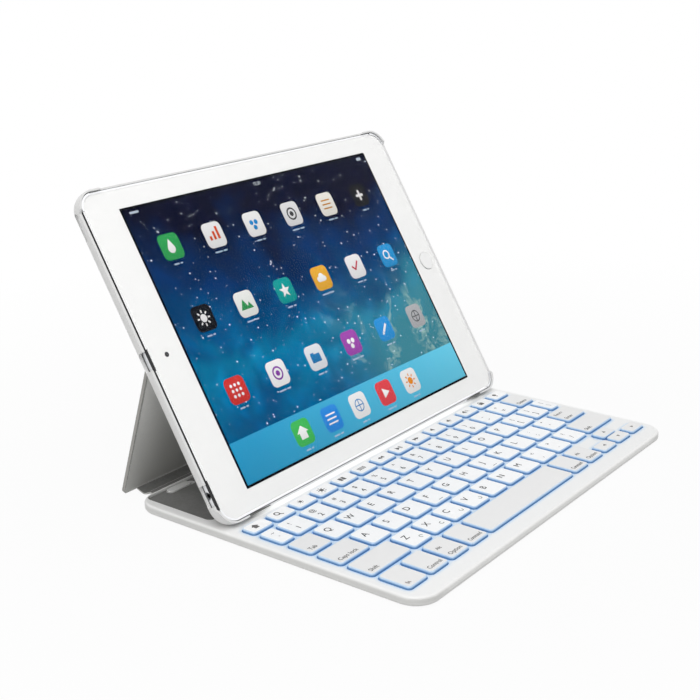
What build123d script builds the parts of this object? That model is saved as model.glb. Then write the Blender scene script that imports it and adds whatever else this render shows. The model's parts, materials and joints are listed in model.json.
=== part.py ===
"""Tablet keyboard case: a thin lit keyboard base, a folding stand cover and a tray shell that holds a tablet.

Millimetres, +Z up. The origin is under the middle of the keyboard base, on the table. +Y runs to the rear.
"""
import math
import os

from build123d import *

os.makedirs("parts", exist_ok=True)

# Keyboard base
BASE_WIDTH = 242.0
BASE_DEPTH = 171.0
BASE_RADIUS = 12.5
BASE_THICKNESS = 4.6
BASE_SKIN = 0.6
BASE_SKIN_INSET = 3.0
COVER_HEIGHT = 2.0
COVER_FLOOR = 0.8
COVER_EDGE = 1.6
FRAME_EDGE = 1.5
BASE_WALL = 1.2
DECK_PLATE = 1.0

# Keys
FIELD_SIDE_MARGIN = 5.8
FIELD_FRONT_MARGIN = 10.65
KEY_GAP = 2.3
ROW_GAP = 2.15
KEY_DEPTH = 14.7
FUNCTION_DEPTH = 8.6
BOTTOM_DEPTH = 17.2
COLUMNS = 14
NUMBER_KEYS = 12
TILDE_WIDTH = 9.3
DELETE_WIDTH = 15.16
TAB_WIDTH = 15.6
CAPS_WIDTH = 21.6
SHIFT_WIDTH = 30.0
SPACE_COLUMNS = 5
ARROW_GAP = 0.5
KEY_RADIUS = 2.0
KEY_RISE = 1.5
KEY_SKIRT = 0.5
KEY_ROOF = 0.9
KEY_WALL = 1.0
KEY_TAPER = 8.0
KEY_EDGE = 0.45
KEY_CLEARANCE = 0.35

# Under the keys
CIRCUIT_THICKNESS = 0.5
GUIDE_THICKNESS = 0.5
SUPPORT_THICKNESS = 0.8
SUPPORT_INSET = 1.6
SUPPORT_WIDTH = 1.0
DOME_RADIUS = 1.8
DOME_TOP_RADIUS = 1.1
DOME_HEIGHT = 1.9
FIELD_MARGIN = 0.3

# Rear recess with its soft lining
RECESS_SIDE_RIM = 5.5
RECESS_DEPTH = 44.5
RECESS_REAR_RIM = 2.0
RECESS_RADIUS = 4.0
RECESS_DROP = 1.2
RECESS_FLOOR = 0.6
RECESS_WALL = 0.8
LINING_THICKNESS = 0.4
LINING_CLEARANCE = 0.2

# Power switch
SWITCH_LENGTH = 15.0
SWITCH_WIDTH = 4.4
SWITCH_HEIGHT = 1.0
SWITCH_TRAVEL = 3.0
SWITCH_CLEARANCE = 0.3
SWITCH_LEFT = 20.7
SWITCH_REAR = 4.9
SWITCH_STEM_LENGTH = 5.0
SWITCH_STEM_WIDTH = 1.6
SWITCH_FLANGE = 0.5

# Electronics and fasteners of the base
BATTERY_LENGTH = 130.0
BATTERY_DEPTH = 34.0
BATTERY_THICKNESS = 1.5
BOARD_LENGTH = 40.0
BOARD_THICKNESS = 0.8
CHIP_SIZE = 9.0
CHIP_THICKNESS = 0.6
SOCKET_WIDTH = 7.5
SOCKET_HEIGHT = 2.4
SOCKET_WALL = 0.3
SOCKET_REAR = 16.0
SOCKET_CLEARANCE = 0.1
SCREW_HEAD_RADIUS = 1.5
SCREW_HEAD = 0.6
SCREW_RADIUS = 0.75
SCREW_LENGTH = 2.6
SCREW_CLEARANCE = 0.05
BOSS_RADIUS = 1.8
COVER_BOSS_RADIUS = 2.1
SCREW_SIDE_INSET = 3.4
SCREW_FRONT_INSET = 5.4
SCREW_REAR_INSET = 53.0
SCREW_SIDE_SPACING = 68.0
SCREW_MIDDLE_SPACING = 140.0
MAGNET_LENGTH = 20.0
MAGNET_DEPTH = 4.0
MAGNET_THICKNESS = 1.5
MAGNET_PLACES = (-90.0, -40.0, 40.0, 90.0)

# Tablet
TABLET_WIDTH = 240.0
TABLET_HEIGHT = 169.5
TABLET_DEPTH = 7.5
TABLET_RADIUS = 9.0
TABLET_BACK_RADIUS = 5.2
TABLET_WALL = 2.25
TABLET_BACK = 0.8
GLASS_THICKNESS = 0.7
PRINT_THICKNESS = 0.2
GLASS_INSET = 1.05
DISPLAY_SIDE_BORDER = 21.48
DISPLAY_END_BORDER = 10.86
DISPLAY_THICKNESS = 1.7
DISPLAY_CLEARANCE = 0.05
RIM_RISE = 0.7
RIM_CORNER = 8.0
GASKET_HEIGHT = 1.1
GASKET_SIDE = 1.0
GASKET_END = 0.35
HOME_RADIUS = 5.3
HOME_INSET = 10.2
HOME_THICKNESS = 1.5
HOME_DROP = 0.1
HOME_TRAVEL_ROOM = 0.6
CAMERA_INSET = 10.8
CAMERA_RADIUS = 1.3
REAR_CAMERA_RADIUS = 4.0
REAR_CAMERA_INSET = 12.0
REAR_CAMERA_THICKNESS = 1.2
JACK_RADIUS = 2.1
JACK_BORE = 1.75
JACK_LENGTH = 12.0
JACK_INSET = 1.6
JACK_HEIGHT = 16.0
PORT_DEPTH = 4.0
SLEEP_LENGTH = 10.0
SLEEP_HEIGHT = 155.0
VOLUME_LENGTH = 22.0
VOLUME_LEFT = 39.0
BUTTON_WIDTH = 2.0
BUTTON_PROUD = 0.3
BUTTON_THICKNESS = 1.4
BUTTON_CLEARANCE = 0.2
CELL_WIDTH = 88.0
CELL_HEIGHT = 118.0
CELL_THICKNESS = 3.6
LOGIC_WIDTH = 12.0
LOGIC_HEIGHT = 110.0
LOGIC_THICKNESS = 1.6
PART_GAP = 0.2

# Shell that holds the tablet
SHELL_SIDE_WALL = 1.5
SHELL_END_WALL = 0.9
SHELL_SIDE_GAP = 0.5
SHELL_END_GAP = 0.4
SHELL_BACK_GAP = 0.1
SHELL_BACK = 1.4
SHELL_BACK_RADIUS = 6.5
SHELL_RADIUS = 11.0
RIM_DROP = 1.1
SIDE_CUT = 3.1
CORNER_RISE = 0.6
CORNER_LENGTH = 10.0
CORNER_WIDTH = 18.5
CORNER_SLOPE = 45.0
NOTCH_LENGTH = 9.5
NOTCH_DEPTH = 6.2
NOTCH_RADIUS = 2.5
JACK_NOTCH_LENGTH = 11.0
RELIEF_LENGTH = 14.0
RELIEF_FRONT = 2.6
VOLUME_RELIEF_LENGTH = 34.0
CONNECTOR_LENGTH = 13.0
CONNECTOR_WIDTH = 4.0
SPEAKER_LENGTH = 25.0
SPEAKER_OFFSET = 27.5
SPEAKER_WIDTH = 3.0
CAMERA_OPENING = 5.5
KEEPER_LENGTH = 20.0
KEEPER_HEIGHT = 8.0
KEEPER_THICKNESS = 0.7
KEEPER_EDGE = 7.0
SKIN_THICKNESS = 2.0
SKIN_TOP_INSET = 7.5
SKIN_RADIUS = 6.0
CREASE_THICKNESS = 1.0

# Stand: how the shell leans, and the folds of the cover
TILT = 58.88
SHELL_STAND = 110.0
DOCK_CLEARANCE = 0.15
FOLD_HEIGHT = 84.5
CREASE_WIDTH = 7.0
FOLD_GAP = 0.4
FLAP_ANGLE = 108.0
FLAP_FOOT_HEIGHT = 3.445
FLAP_SIDE_INSET = 7.3
FLAP_THICKNESS = 1.8
FLAP_SKIN = 0.6
FLAP_BOARD = 0.8
FLAP_HEM = 1.1
FLAP_CORNER = 3.0
SPINE_SIDE_INSET = 14.5
SPINE_THICKNESS = 0.9
SPINE_FOLD_REACH = 1.5
SPINE_RISE = 0.55
SPINE_RISE_REACH = 2.6
SPINE_SAG = 1.05
SPINE_SAG_REACH = 7.4
SPINE_TAB = 4.2
SPINE_GAP = 0.5
HINGE_CLEARANCE = 0.4

# Levels of the base
COVER_Z = BASE_SKIN
SPLIT_Z = COVER_Z + COVER_HEIGHT
DECK_Z = COVER_Z + BASE_THICKNESS
FLOOR_Z = COVER_Z + COVER_FLOOR
PLATE_Z = DECK_Z - DECK_PLATE
GUIDE_Z = FLOOR_Z + CIRCUIT_THICKNESS
SUPPORT_Z = GUIDE_Z + GUIDE_THICKNESS
KEY_TOP_Z = DECK_Z + KEY_RISE
SKIRT_Z = DECK_Z - KEY_SKIRT
SUPPORT_HOLE = SUPPORT_INSET + SUPPORT_WIDTH
RECESS_Z = DECK_Z - RECESS_DROP - LINING_THICKNESS
PAN_Z = RECESS_Z - RECESS_FLOOR

# Widths on the base
FIELD_WIDTH = BASE_WIDTH - 2 * FIELD_SIDE_MARGIN
RECESS_WIDTH = BASE_WIDTH - 2 * RECESS_SIDE_RIM
SPINE_WIDTH = BASE_WIDTH - 2 * SPINE_SIDE_INSET

# Places on the base
FRONT_Y = -BASE_DEPTH / 2
REAR_Y = BASE_DEPTH / 2
RECESS_Y = REAR_Y - RECESS_REAR_RIM - RECESS_DEPTH / 2
SWITCH_X = -RECESS_WIDTH / 2 + SWITCH_LEFT + SWITCH_TRAVEL / 2
SWITCH_Y = REAR_Y - SWITCH_REAR
SOCKET_Y = REAR_Y - SOCKET_REAR
FIELD_FRONT_Y = FRONT_Y + FIELD_FRONT_MARGIN
FIELD_DEPTH = BOTTOM_DEPTH + 4 * KEY_DEPTH + FUNCTION_DEPTH + 5 * ROW_GAP
FIELD_Y = FIELD_FRONT_Y + FIELD_DEPTH / 2
COLUMN = (FIELD_WIDTH + KEY_GAP) / COLUMNS
KEY_WIDTH = COLUMN - KEY_GAP
LETTER_PITCH = (FIELD_WIDTH - TILDE_WIDTH - DELETE_WIDTH - KEY_GAP) / NUMBER_KEYS
LETTER_WIDTH = LETTER_PITCH - KEY_GAP
HALF_DEPTH = (BOTTOM_DEPTH - ARROW_GAP) / 2

# The leaning frame of the tablet: x across, y up the face, depth behind the front of the glass
SIN = math.sin(math.radians(TILT))
COS = math.cos(math.radians(TILT))
TABLET_MIDDLE = TABLET_HEIGHT / 2
SHELL_WIDTH = TABLET_WIDTH + 2 * (SHELL_SIDE_GAP + SHELL_SIDE_WALL)
SHELL_HEIGHT = TABLET_HEIGHT + 2 * (SHELL_END_GAP + SHELL_END_WALL)
SHELL_FOOT = -SHELL_END_GAP - SHELL_END_WALL
FLAP_WIDTH = SHELL_WIDTH - 2 * FLAP_SIDE_INSET
DISPLAY_WIDTH = TABLET_WIDTH - 2 * DISPLAY_SIDE_BORDER
DISPLAY_HEIGHT = TABLET_HEIGHT - 2 * DISPLAY_END_BORDER
CAVITY_DEPTH = TABLET_DEPTH + SHELL_BACK_GAP
SHELL_DEPTH = CAVITY_DEPTH + SHELL_BACK
FOOT_CENTRE_UP = SHELL_FOOT + SHELL_BACK_RADIUS
FOOT_CENTRE_DEPTH = SHELL_DEPTH - SHELL_BACK_RADIUS
GLASS_Y = FRONT_Y + SHELL_STAND
GLASS_Z = (DECK_Z + DOCK_CLEARANCE + SHELL_BACK_RADIUS
           - FOOT_CENTRE_UP * SIN + FOOT_CENTRE_DEPTH * COS)
FOOT_Y = GLASS_Y + FOOT_CENTRE_UP * COS + FOOT_CENTRE_DEPTH * SIN
FRONT_GLASS = Plane(origin=(0, GLASS_Y, GLASS_Z), x_dir=(1, 0, 0), z_dir=(0, -SIN, COS))
FACE_AXIS = Axis((0, GLASS_Y, GLASS_Z), (0, -SIN, COS))
LEFT_SIDE = Plane(origin=(-SHELL_WIDTH / 2, GLASS_Y, GLASS_Z), x_dir=(0, COS, SIN), z_dir=(-1, 0, 0))
RIGHT_SIDE = Plane(origin=(SHELL_WIDTH / 2, GLASS_Y, GLASS_Z), x_dir=(0, COS, SIN), z_dir=(1, 0, 0))


def behind(depth):
    """The plane this far behind the front of the glass."""
    return FRONT_GLASS.offset(-depth)


def face_point(up, depth):
    """Side view (Y, Z) of a point of the leaning frame."""
    return (GLASS_Y + up * COS + depth * SIN, GLASS_Z + up * SIN - depth * COS)


# Fold lines of the cover in the side view (Y, Z)
SKIN_DEPTH = SHELL_DEPTH + SKIN_THICKNESS
CREASE_TOP = FOLD_HEIGHT + CREASE_WIDTH
LOWER_FOLD = face_point(FOLD_HEIGHT, SKIN_DEPTH)
UPPER_FOLD = face_point(CREASE_TOP, SKIN_DEPTH)
FLAP_UP = (math.cos(math.radians(FLAP_ANGLE)), math.sin(math.radians(FLAP_ANGLE)))
FLAP_LENGTH = (LOWER_FOLD[1] - FLAP_FOOT_HEIGHT) / FLAP_UP[1]
FLAP_FOOT = (LOWER_FOLD[0] - FLAP_LENGTH * FLAP_UP[0], FLAP_FOOT_HEIGHT)
FLAP_INWARD = (-FLAP_UP[1], FLAP_UP[0])


def flap_point(up, inward):
    """Side view (Y, Z) of a point of the flap, from the foot of its outer face."""
    return (FLAP_FOOT[0] + FLAP_UP[0] * up + FLAP_INWARD[0] * inward,
            FLAP_FOOT[1] + FLAP_UP[1] * up + FLAP_INWARD[1] * inward)


FLAP_HINGE = flap_point(0, FLAP_THICKNESS / 2)
SPINE_HINGE = (REAR_Y + SPINE_FOLD_REACH, PAN_Z - SPINE_THICKNESS / 2)
FLAP_OUTER = Plane(origin=(0, *FLAP_FOOT), x_dir=(1, 0, 0), z_dir=(0, *FLAP_INWARD))


def key_row(front_y, depth, names_widths):
    """Keys of one row from the left edge of the field: (node, x, y, width, depth)."""
    keys = []
    left = -FIELD_WIDTH / 2
    for name, width in names_widths:
        keys.append((name, left + width / 2, front_y + depth / 2, width, depth))
        left += width + KEY_GAP
    return keys


def last_width(names_widths):
    """What is left of the row for its last key."""
    used = sum(width + KEY_GAP for name, width in names_widths)
    return FIELD_WIDTH - used


def letter_row(front_y, first, row_name, count, last):
    """A row with a first key of its own width, equal keys and a last key that fills the row."""
    row = [first] + [(row_name, LETTER_WIDTH)] * count
    row.append((last, last_width(row)))
    return key_row(front_y, KEY_DEPTH, row)


# Key layout, from the front row to the rear row
SPACE_WIDTH = SPACE_COLUMNS * COLUMN - KEY_GAP
bottom_names = [(name, KEY_WIDTH) for name in ("key_fn", "key_control", "key_option", "key_command")]
bottom_names.append(("key_space", SPACE_WIDTH))
bottom_names += [(name, KEY_WIDTH) for name in ("key_command_right", "key_option_right")]
bottom_row = key_row(FIELD_FRONT_Y, BOTTOM_DEPTH, bottom_names)
arrow_left_x = FIELD_WIDTH / 2 - KEY_WIDTH / 2 - 2 * COLUMN
arrow_middle_x = arrow_left_x + COLUMN
arrow_right_x = arrow_middle_x + COLUMN
front_half_y = FIELD_FRONT_Y + HALF_DEPTH / 2
rear_half_y = front_half_y + HALF_DEPTH + ARROW_GAP
arrow_keys = [("key_arrow_left", arrow_left_x, front_half_y, KEY_WIDTH, HALF_DEPTH),
              ("key_arrow_down", arrow_middle_x, front_half_y, KEY_WIDTH, HALF_DEPTH),
              ("key_arrow_up", arrow_middle_x, rear_half_y, KEY_WIDTH, HALF_DEPTH),
              ("key_arrow_right", arrow_right_x, front_half_y, KEY_WIDTH, HALF_DEPTH)]
z_row_y = FIELD_FRONT_Y + BOTTOM_DEPTH + ROW_GAP
a_row_y = z_row_y + KEY_DEPTH + ROW_GAP
q_row_y = a_row_y + KEY_DEPTH + ROW_GAP
number_row_y = q_row_y + KEY_DEPTH + ROW_GAP
function_row_y = number_row_y + KEY_DEPTH + ROW_GAP
key_list = bottom_row + arrow_keys
key_list += letter_row(z_row_y, ("key_shift_left", SHIFT_WIDTH), "z_row_keys", 10, "key_shift_right")
key_list += letter_row(a_row_y, ("key_caps", CAPS_WIDTH), "a_row_keys", 11, "key_enter")
key_list += letter_row(q_row_y, ("key_tab", TAB_WIDTH), "q_row_keys", 12, "key_backslash")
key_list += letter_row(number_row_y, ("key_tilde", TILDE_WIDTH), "number_keys", NUMBER_KEYS, "key_delete")
key_list += key_row(function_row_y, FUNCTION_DEPTH, [("function_keys", KEY_WIDTH)] * COLUMNS)
key_names = sorted(set(key[0] for key in key_list))

# Screw and magnet places
screw_side_x = BASE_WIDTH / 2 - SCREW_SIDE_INSET
screw_front_y = FRONT_Y + SCREW_FRONT_INSET
screw_rear_y = REAR_Y - SCREW_REAR_INSET
screw_side_ys = (FIELD_Y - SCREW_SIDE_SPACING / 2, FIELD_Y + SCREW_SIDE_SPACING / 2)
screw_middle_x = SCREW_MIDDLE_SPACING / 2
screw_places = [(x, y) for x in (-screw_side_x, screw_side_x) for y in screw_side_ys]
screw_places += [(x, y) for x in (-screw_middle_x, screw_middle_x) for y in (screw_front_y, screw_rear_y)]
magnet_places = [(x, FOOT_Y) for x in MAGNET_PLACES]


def outline(inset=0.0):
    """The base outline, moved inward by the inset."""
    return RectangleRounded(BASE_WIDTH - 2 * inset, BASE_DEPTH - 2 * inset, BASE_RADIUS - inset)


def tablet_outline(grow=0.0):
    """The tablet outline on a plane of the leaning frame, moved outward."""
    with Locations((0, TABLET_MIDDLE)):
        return RectangleRounded(TABLET_WIDTH + 2 * grow, TABLET_HEIGHT + 2 * grow, TABLET_RADIUS + grow)


# Bottom cover: a shallow tray with a rolled lower edge and screw bosses
with BuildPart() as bottom_cover:
    with BuildSketch(Plane.XY.offset(COVER_Z)):
        outline()
    extrude(amount=COVER_HEIGHT)
    fillet(bottom_cover.edges().group_by(Axis.Z)[0], COVER_EDGE)
    with BuildSketch(Plane.XY.offset(FLOOR_Z)):
        outline(BASE_WALL)
    extrude(amount=COVER_HEIGHT, mode=Mode.SUBTRACT)
    with BuildSketch(Plane.XY.offset(FLOOR_Z)):
        with Locations(*screw_places):
            Circle(COVER_BOSS_RADIUS)
    extrude(amount=SPLIT_Z - FLOOR_Z)
    with BuildSketch(Plane.XY.offset(COVER_Z)):
        with Locations(*screw_places):
            Circle(SCREW_RADIUS + SCREW_CLEARANCE)
    extrude(amount=COVER_HEIGHT, mode=Mode.SUBTRACT)
    with BuildSketch(Plane.XY.offset(COVER_Z)):
        with Locations(*screw_places):
            Circle(SCREW_HEAD_RADIUS + SCREW_CLEARANCE)
    extrude(amount=SCREW_HEAD + SCREW_CLEARANCE, mode=Mode.SUBTRACT)
    with BuildSketch(Plane.XY.offset(PAN_Z - SPINE_THICKNESS)):
        with Locations((0, REAR_Y)):
            Rectangle(SPINE_WIDTH + 2 * SOCKET_CLEARANCE, 2 * SPINE_TAB)
    extrude(amount=SPINE_THICKNESS, mode=Mode.SUBTRACT)
    with BuildSketch(Plane.XY.offset(SPLIT_Z - SOCKET_HEIGHT / 2 - SOCKET_CLEARANCE)):
        with Locations((BASE_WIDTH / 2, SOCKET_Y)):
            Rectangle(2 * SCREW_SIDE_INSET, SOCKET_WIDTH + 2 * SOCKET_CLEARANCE)
    extrude(amount=SOCKET_HEIGHT, mode=Mode.SUBTRACT)
bottom_cover.part.label = "bottom_cover"

# Base skin: the soft sheet glued under the cover, which the case stands on
with BuildPart() as base_skin:
    with BuildSketch(Plane.XY):
        outline(BASE_SKIN_INSET)
    extrude(amount=BASE_SKIN)
base_skin.part.label = "base_skin"

# Top frame: deck plate, side wall, recess pan and bosses in one moulding
with BuildPart() as top_frame:
    with BuildSketch(Plane.XY.offset(SPLIT_Z)):
        outline()
    extrude(amount=DECK_Z - SPLIT_Z)
    fillet(top_frame.edges().group_by(Axis.Z)[-1], FRAME_EDGE)
    with BuildSketch(Plane.XY.offset(SPLIT_Z)):
        outline(BASE_WALL)
    extrude(amount=PLATE_Z - SPLIT_Z, mode=Mode.SUBTRACT)
    with BuildSketch(Plane.XY.offset(PAN_Z)):
        with Locations((0, RECESS_Y)):
            RectangleRounded(RECESS_WIDTH + 2 * RECESS_WALL, RECESS_DEPTH + 2 * RECESS_WALL,
                             RECESS_RADIUS + RECESS_WALL)
    extrude(amount=PLATE_Z - PAN_Z)
    with BuildSketch(Plane.XY.offset(RECESS_Z)):
        with Locations((0, RECESS_Y)):
            RectangleRounded(RECESS_WIDTH, RECESS_DEPTH, RECESS_RADIUS)
    extrude(amount=DECK_Z - RECESS_Z, mode=Mode.SUBTRACT)
    with BuildSketch(Plane.XY.offset(PLATE_Z)):
        for name, x, y, width, depth in key_list:
            with Locations((x, y)):
                RectangleRounded(width + 2 * KEY_CLEARANCE, depth + 2 * KEY_CLEARANCE,
                                 KEY_RADIUS + KEY_CLEARANCE)
        with Locations((arrow_middle_x, FIELD_FRONT_Y + BOTTOM_DEPTH / 2)):
            Rectangle(KEY_WIDTH + 2 * KEY_CLEARANCE, HALF_DEPTH)
    extrude(amount=DECK_PLATE, mode=Mode.SUBTRACT)
    with BuildSketch(Plane.XY.offset(SPLIT_Z)):
        with Locations(*screw_places):
            Circle(BOSS_RADIUS)
    extrude(amount=PLATE_Z - SPLIT_Z)
    with BuildSketch(Plane.XY.offset(SPLIT_Z)):
        with Locations(*screw_places):
            Circle(SCREW_RADIUS + SCREW_CLEARANCE)
    extrude(amount=PLATE_Z - SPLIT_Z, mode=Mode.SUBTRACT)
    with BuildSketch(Plane.XY.offset(PAN_Z)):
        with Locations((SWITCH_X, SWITCH_Y)):
            Rectangle(SWITCH_STEM_LENGTH + SWITCH_TRAVEL + 2 * SWITCH_CLEARANCE,
                      SWITCH_STEM_WIDTH + 2 * SWITCH_CLEARANCE)
    extrude(amount=RECESS_FLOOR, mode=Mode.SUBTRACT)
    with BuildSketch(Plane.XY.offset(SPLIT_Z)):
        with Locations((0, REAR_Y)):
            Rectangle(SPINE_WIDTH + 2 * SOCKET_CLEARANCE, 2 * BASE_WALL)
    extrude(amount=PAN_Z - SPLIT_Z, mode=Mode.SUBTRACT)
    with BuildSketch(Plane.XY.offset(SPLIT_Z)):
        with Locations((BASE_WIDTH / 2, SOCKET_Y)):
            Rectangle(2 * BASE_WALL, SOCKET_WIDTH + 2 * SOCKET_CLEARANCE)
    extrude(amount=SOCKET_HEIGHT / 2 + SOCKET_CLEARANCE, mode=Mode.SUBTRACT)
top_frame.part.label = "top_frame"

# Recess lining: soft sheet on the recess floor, cut out round the power switch
with BuildPart() as recess_lining:
    with BuildSketch(Plane.XY.offset(RECESS_Z)):
        with Locations((0, RECESS_Y)):
            RectangleRounded(RECESS_WIDTH - 2 * LINING_CLEARANCE, RECESS_DEPTH - 2 * LINING_CLEARANCE,
                             RECESS_RADIUS - LINING_CLEARANCE)
        with Locations((SWITCH_X, SWITCH_Y)):
            SlotOverall(SWITCH_LENGTH + SWITCH_TRAVEL + 2 * SWITCH_CLEARANCE,
                        SWITCH_WIDTH + 2 * SWITCH_CLEARANCE, mode=Mode.SUBTRACT)
    extrude(amount=LINING_THICKNESS)
recess_lining.part.label = "recess_lining"

# Power switch: sliding cap with a stem through the floor and a flange below it
switch_rest_x = SWITCH_X - SWITCH_TRAVEL / 2
with BuildPart() as power_switch:
    with BuildSketch(Plane.XY.offset(RECESS_Z + LINING_CLEARANCE / 2)):
        with Locations((switch_rest_x, SWITCH_Y)):
            SlotOverall(SWITCH_LENGTH, SWITCH_WIDTH)
    extrude(amount=SWITCH_HEIGHT)
    fillet(power_switch.edges().group_by(Axis.Z)[-1], SWITCH_HEIGHT / 3)
    with BuildSketch(Plane.XY.offset(PAN_Z - LINING_CLEARANCE / 2)):
        with Locations((switch_rest_x, SWITCH_Y)):
            Rectangle(SWITCH_STEM_LENGTH, SWITCH_STEM_WIDTH)
    extrude(amount=RECESS_FLOOR + LINING_CLEARANCE)
    with BuildSketch(Plane.XY.offset(PAN_Z - LINING_CLEARANCE / 2 - SWITCH_FLANGE)):
        with Locations((switch_rest_x, SWITCH_Y)):
            Rectangle(SWITCH_STEM_LENGTH, SWITCH_STEM_WIDTH + 2 * (SWITCH_CLEARANCE + SWITCH_FLANGE))
    extrude(amount=SWITCH_FLANGE)
power_switch.part.label = "power_switch"

# Key circuit, light guide, key supports and rubber domes, stacked on the cover floor
field_plate_width = FIELD_WIDTH - 2 * FIELD_MARGIN
field_plate_depth = FIELD_DEPTH - 2 * FIELD_MARGIN
with BuildPart() as key_circuit:
    with BuildSketch(Plane.XY.offset(FLOOR_Z)):
        with Locations((0, FIELD_Y)):
            RectangleRounded(field_plate_width, field_plate_depth, KEY_RADIUS)
    extrude(amount=CIRCUIT_THICKNESS)
key_circuit.part.label = "key_circuit"

with BuildPart() as light_guide:
    with BuildSketch(Plane.XY.offset(GUIDE_Z)):
        with Locations((0, FIELD_Y)):
            RectangleRounded(field_plate_width, field_plate_depth, KEY_RADIUS)
    extrude(amount=GUIDE_THICKNESS)
light_guide.part.label = "light_guide"

with BuildPart() as key_supports:
    with BuildSketch(Plane.XY.offset(SUPPORT_Z)):
        for name, x, y, width, depth in key_list:
            with Locations((x, y)):
                Rectangle(width - 2 * SUPPORT_INSET, depth - 2 * SUPPORT_INSET)
                Rectangle(width - 2 * SUPPORT_HOLE, depth - 2 * SUPPORT_HOLE, mode=Mode.SUBTRACT)
    extrude(amount=SUPPORT_THICKNESS)
key_supports.part.label = "key_supports"

with BuildPart() as key_domes:
    for name, x, y, width, depth in key_list:
        dome_room = min(width, depth) / 2 - SUPPORT_HOLE - PART_GAP
        dome_radius = min(DOME_RADIUS, dome_room)
        with Locations((x, y, SUPPORT_Z)):
            Cone(dome_radius, dome_radius * DOME_TOP_RADIUS / DOME_RADIUS, DOME_HEIGHT,
                 align=(Align.CENTER, Align.CENTER, Align.MIN))
key_domes.part.label = "key_domes"

# Key caps: hollow, tapered, with a softened top edge; one node for each key or row of equal keys
key_caps = {}
for key_name in key_names:
    with BuildPart() as key_cap:
        with BuildSketch(Plane.XY.offset(SKIRT_Z)):
            for name, x, y, width, depth in key_list:
                if name == key_name:
                    with Locations((x, y)):
                        RectangleRounded(width, depth, KEY_RADIUS)
        extrude(amount=KEY_TOP_Z - SKIRT_Z, taper=KEY_TAPER)
        fillet(key_cap.edges().group_by(Axis.Z)[-1], KEY_EDGE)
        with BuildSketch(Plane.XY.offset(SKIRT_Z)):
            for name, x, y, width, depth in key_list:
                if name == key_name:
                    with Locations((x, y)):
                        RectangleRounded(width - 2 * KEY_WALL, depth - 2 * KEY_WALL,
                                         KEY_RADIUS - KEY_WALL / 2)
        extrude(amount=KEY_TOP_Z - KEY_ROOF - SKIRT_Z, mode=Mode.SUBTRACT)
    key_cap.part.label = key_name
    key_caps[key_name] = key_cap.part

# Battery, controller board with two chips, and charging socket under the recess and its border
with BuildPart() as battery:
    with BuildSketch(Plane.XY.offset(FLOOR_Z)):
        with Locations((-BOARD_LENGTH / 2, RECESS_Y)):
            RectangleRounded(BATTERY_LENGTH, BATTERY_DEPTH, KEY_RADIUS)
    extrude(amount=BATTERY_THICKNESS)
battery.part.label = "battery"

board_x = BATTERY_LENGTH / 2 + KEY_GAP
with BuildPart() as controller_board:
    with BuildSketch(Plane.XY.offset(FLOOR_Z)):
        with Locations((board_x, RECESS_Y)):
            Rectangle(BOARD_LENGTH, BATTERY_DEPTH)
    extrude(amount=BOARD_THICKNESS)
    with BuildSketch(Plane.XY.offset(FLOOR_Z + BOARD_THICKNESS)):
        with Locations((board_x, RECESS_Y)):
            with GridLocations(2 * CHIP_SIZE, CHIP_SIZE, 2, 1):
                Rectangle(CHIP_SIZE, CHIP_SIZE)
    extrude(amount=CHIP_THICKNESS)
controller_board.part.label = "controller_board"

socket_length = BASE_WIDTH / 2 - RECESS_WIDTH / 2 - RECESS_WALL - 2 * SOCKET_CLEARANCE
socket_mouth = (BASE_WIDTH / 2 - SOCKET_CLEARANCE, SOCKET_Y, SPLIT_Z)
socket_plane = Plane(origin=socket_mouth, x_dir=(0, 1, 0), z_dir=(1, 0, 0))
with BuildPart() as charging_socket:
    with BuildSketch(socket_plane):
        RectangleRounded(SOCKET_WIDTH, SOCKET_HEIGHT, SOCKET_HEIGHT / 4)
    extrude(amount=-socket_length)
    with BuildSketch(socket_plane):
        RectangleRounded(SOCKET_WIDTH - 2 * SOCKET_WALL, SOCKET_HEIGHT - 2 * SOCKET_WALL,
                         SOCKET_HEIGHT / 4 - SOCKET_WALL)
        Rectangle(SOCKET_WIDTH / 2, 2 * SOCKET_WALL, mode=Mode.SUBTRACT)
    extrude(amount=-(socket_length - SOCKET_WALL), mode=Mode.SUBTRACT)
charging_socket.part.label = "charging_socket"

# Cover screws, from below into the frame's bosses
with BuildPart() as cover_screws:
    with BuildSketch(Plane.XY.offset(COVER_Z)):
        with Locations(*screw_places):
            Circle(SCREW_HEAD_RADIUS)
    extrude(amount=SCREW_HEAD)
    with BuildSketch(Plane.XY.offset(COVER_Z)):
        with Locations(*screw_places):
            Circle(SCREW_RADIUS)
    extrude(amount=SCREW_LENGTH)
cover_screws.part.label = "cover_screws"

# Dock magnets under the deck, where the foot of the shell stands
with BuildPart() as dock_magnets:
    with BuildSketch(Plane.XY.offset(PLATE_Z - MAGNET_THICKNESS)):
        with Locations(*magnet_places):
            Rectangle(MAGNET_LENGTH, MAGNET_DEPTH)
    extrude(amount=MAGNET_THICKNESS)
dock_magnets.part.label = "dock_magnets"

# Spine anchor: the fixed tab of the spine, clamped between cover and frame
with BuildPart() as spine_anchor:
    with BuildSketch(Plane.XY.offset(PAN_Z - SPINE_THICKNESS)):
        with Locations((0, SPINE_HINGE[0] - SPINE_GAP)):
            Rectangle(SPINE_WIDTH, SPINE_TAB, align=(Align.CENTER, Align.MAX))
    extrude(amount=SPINE_THICKNESS)
spine_anchor.part.label = "spine_anchor"

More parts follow.
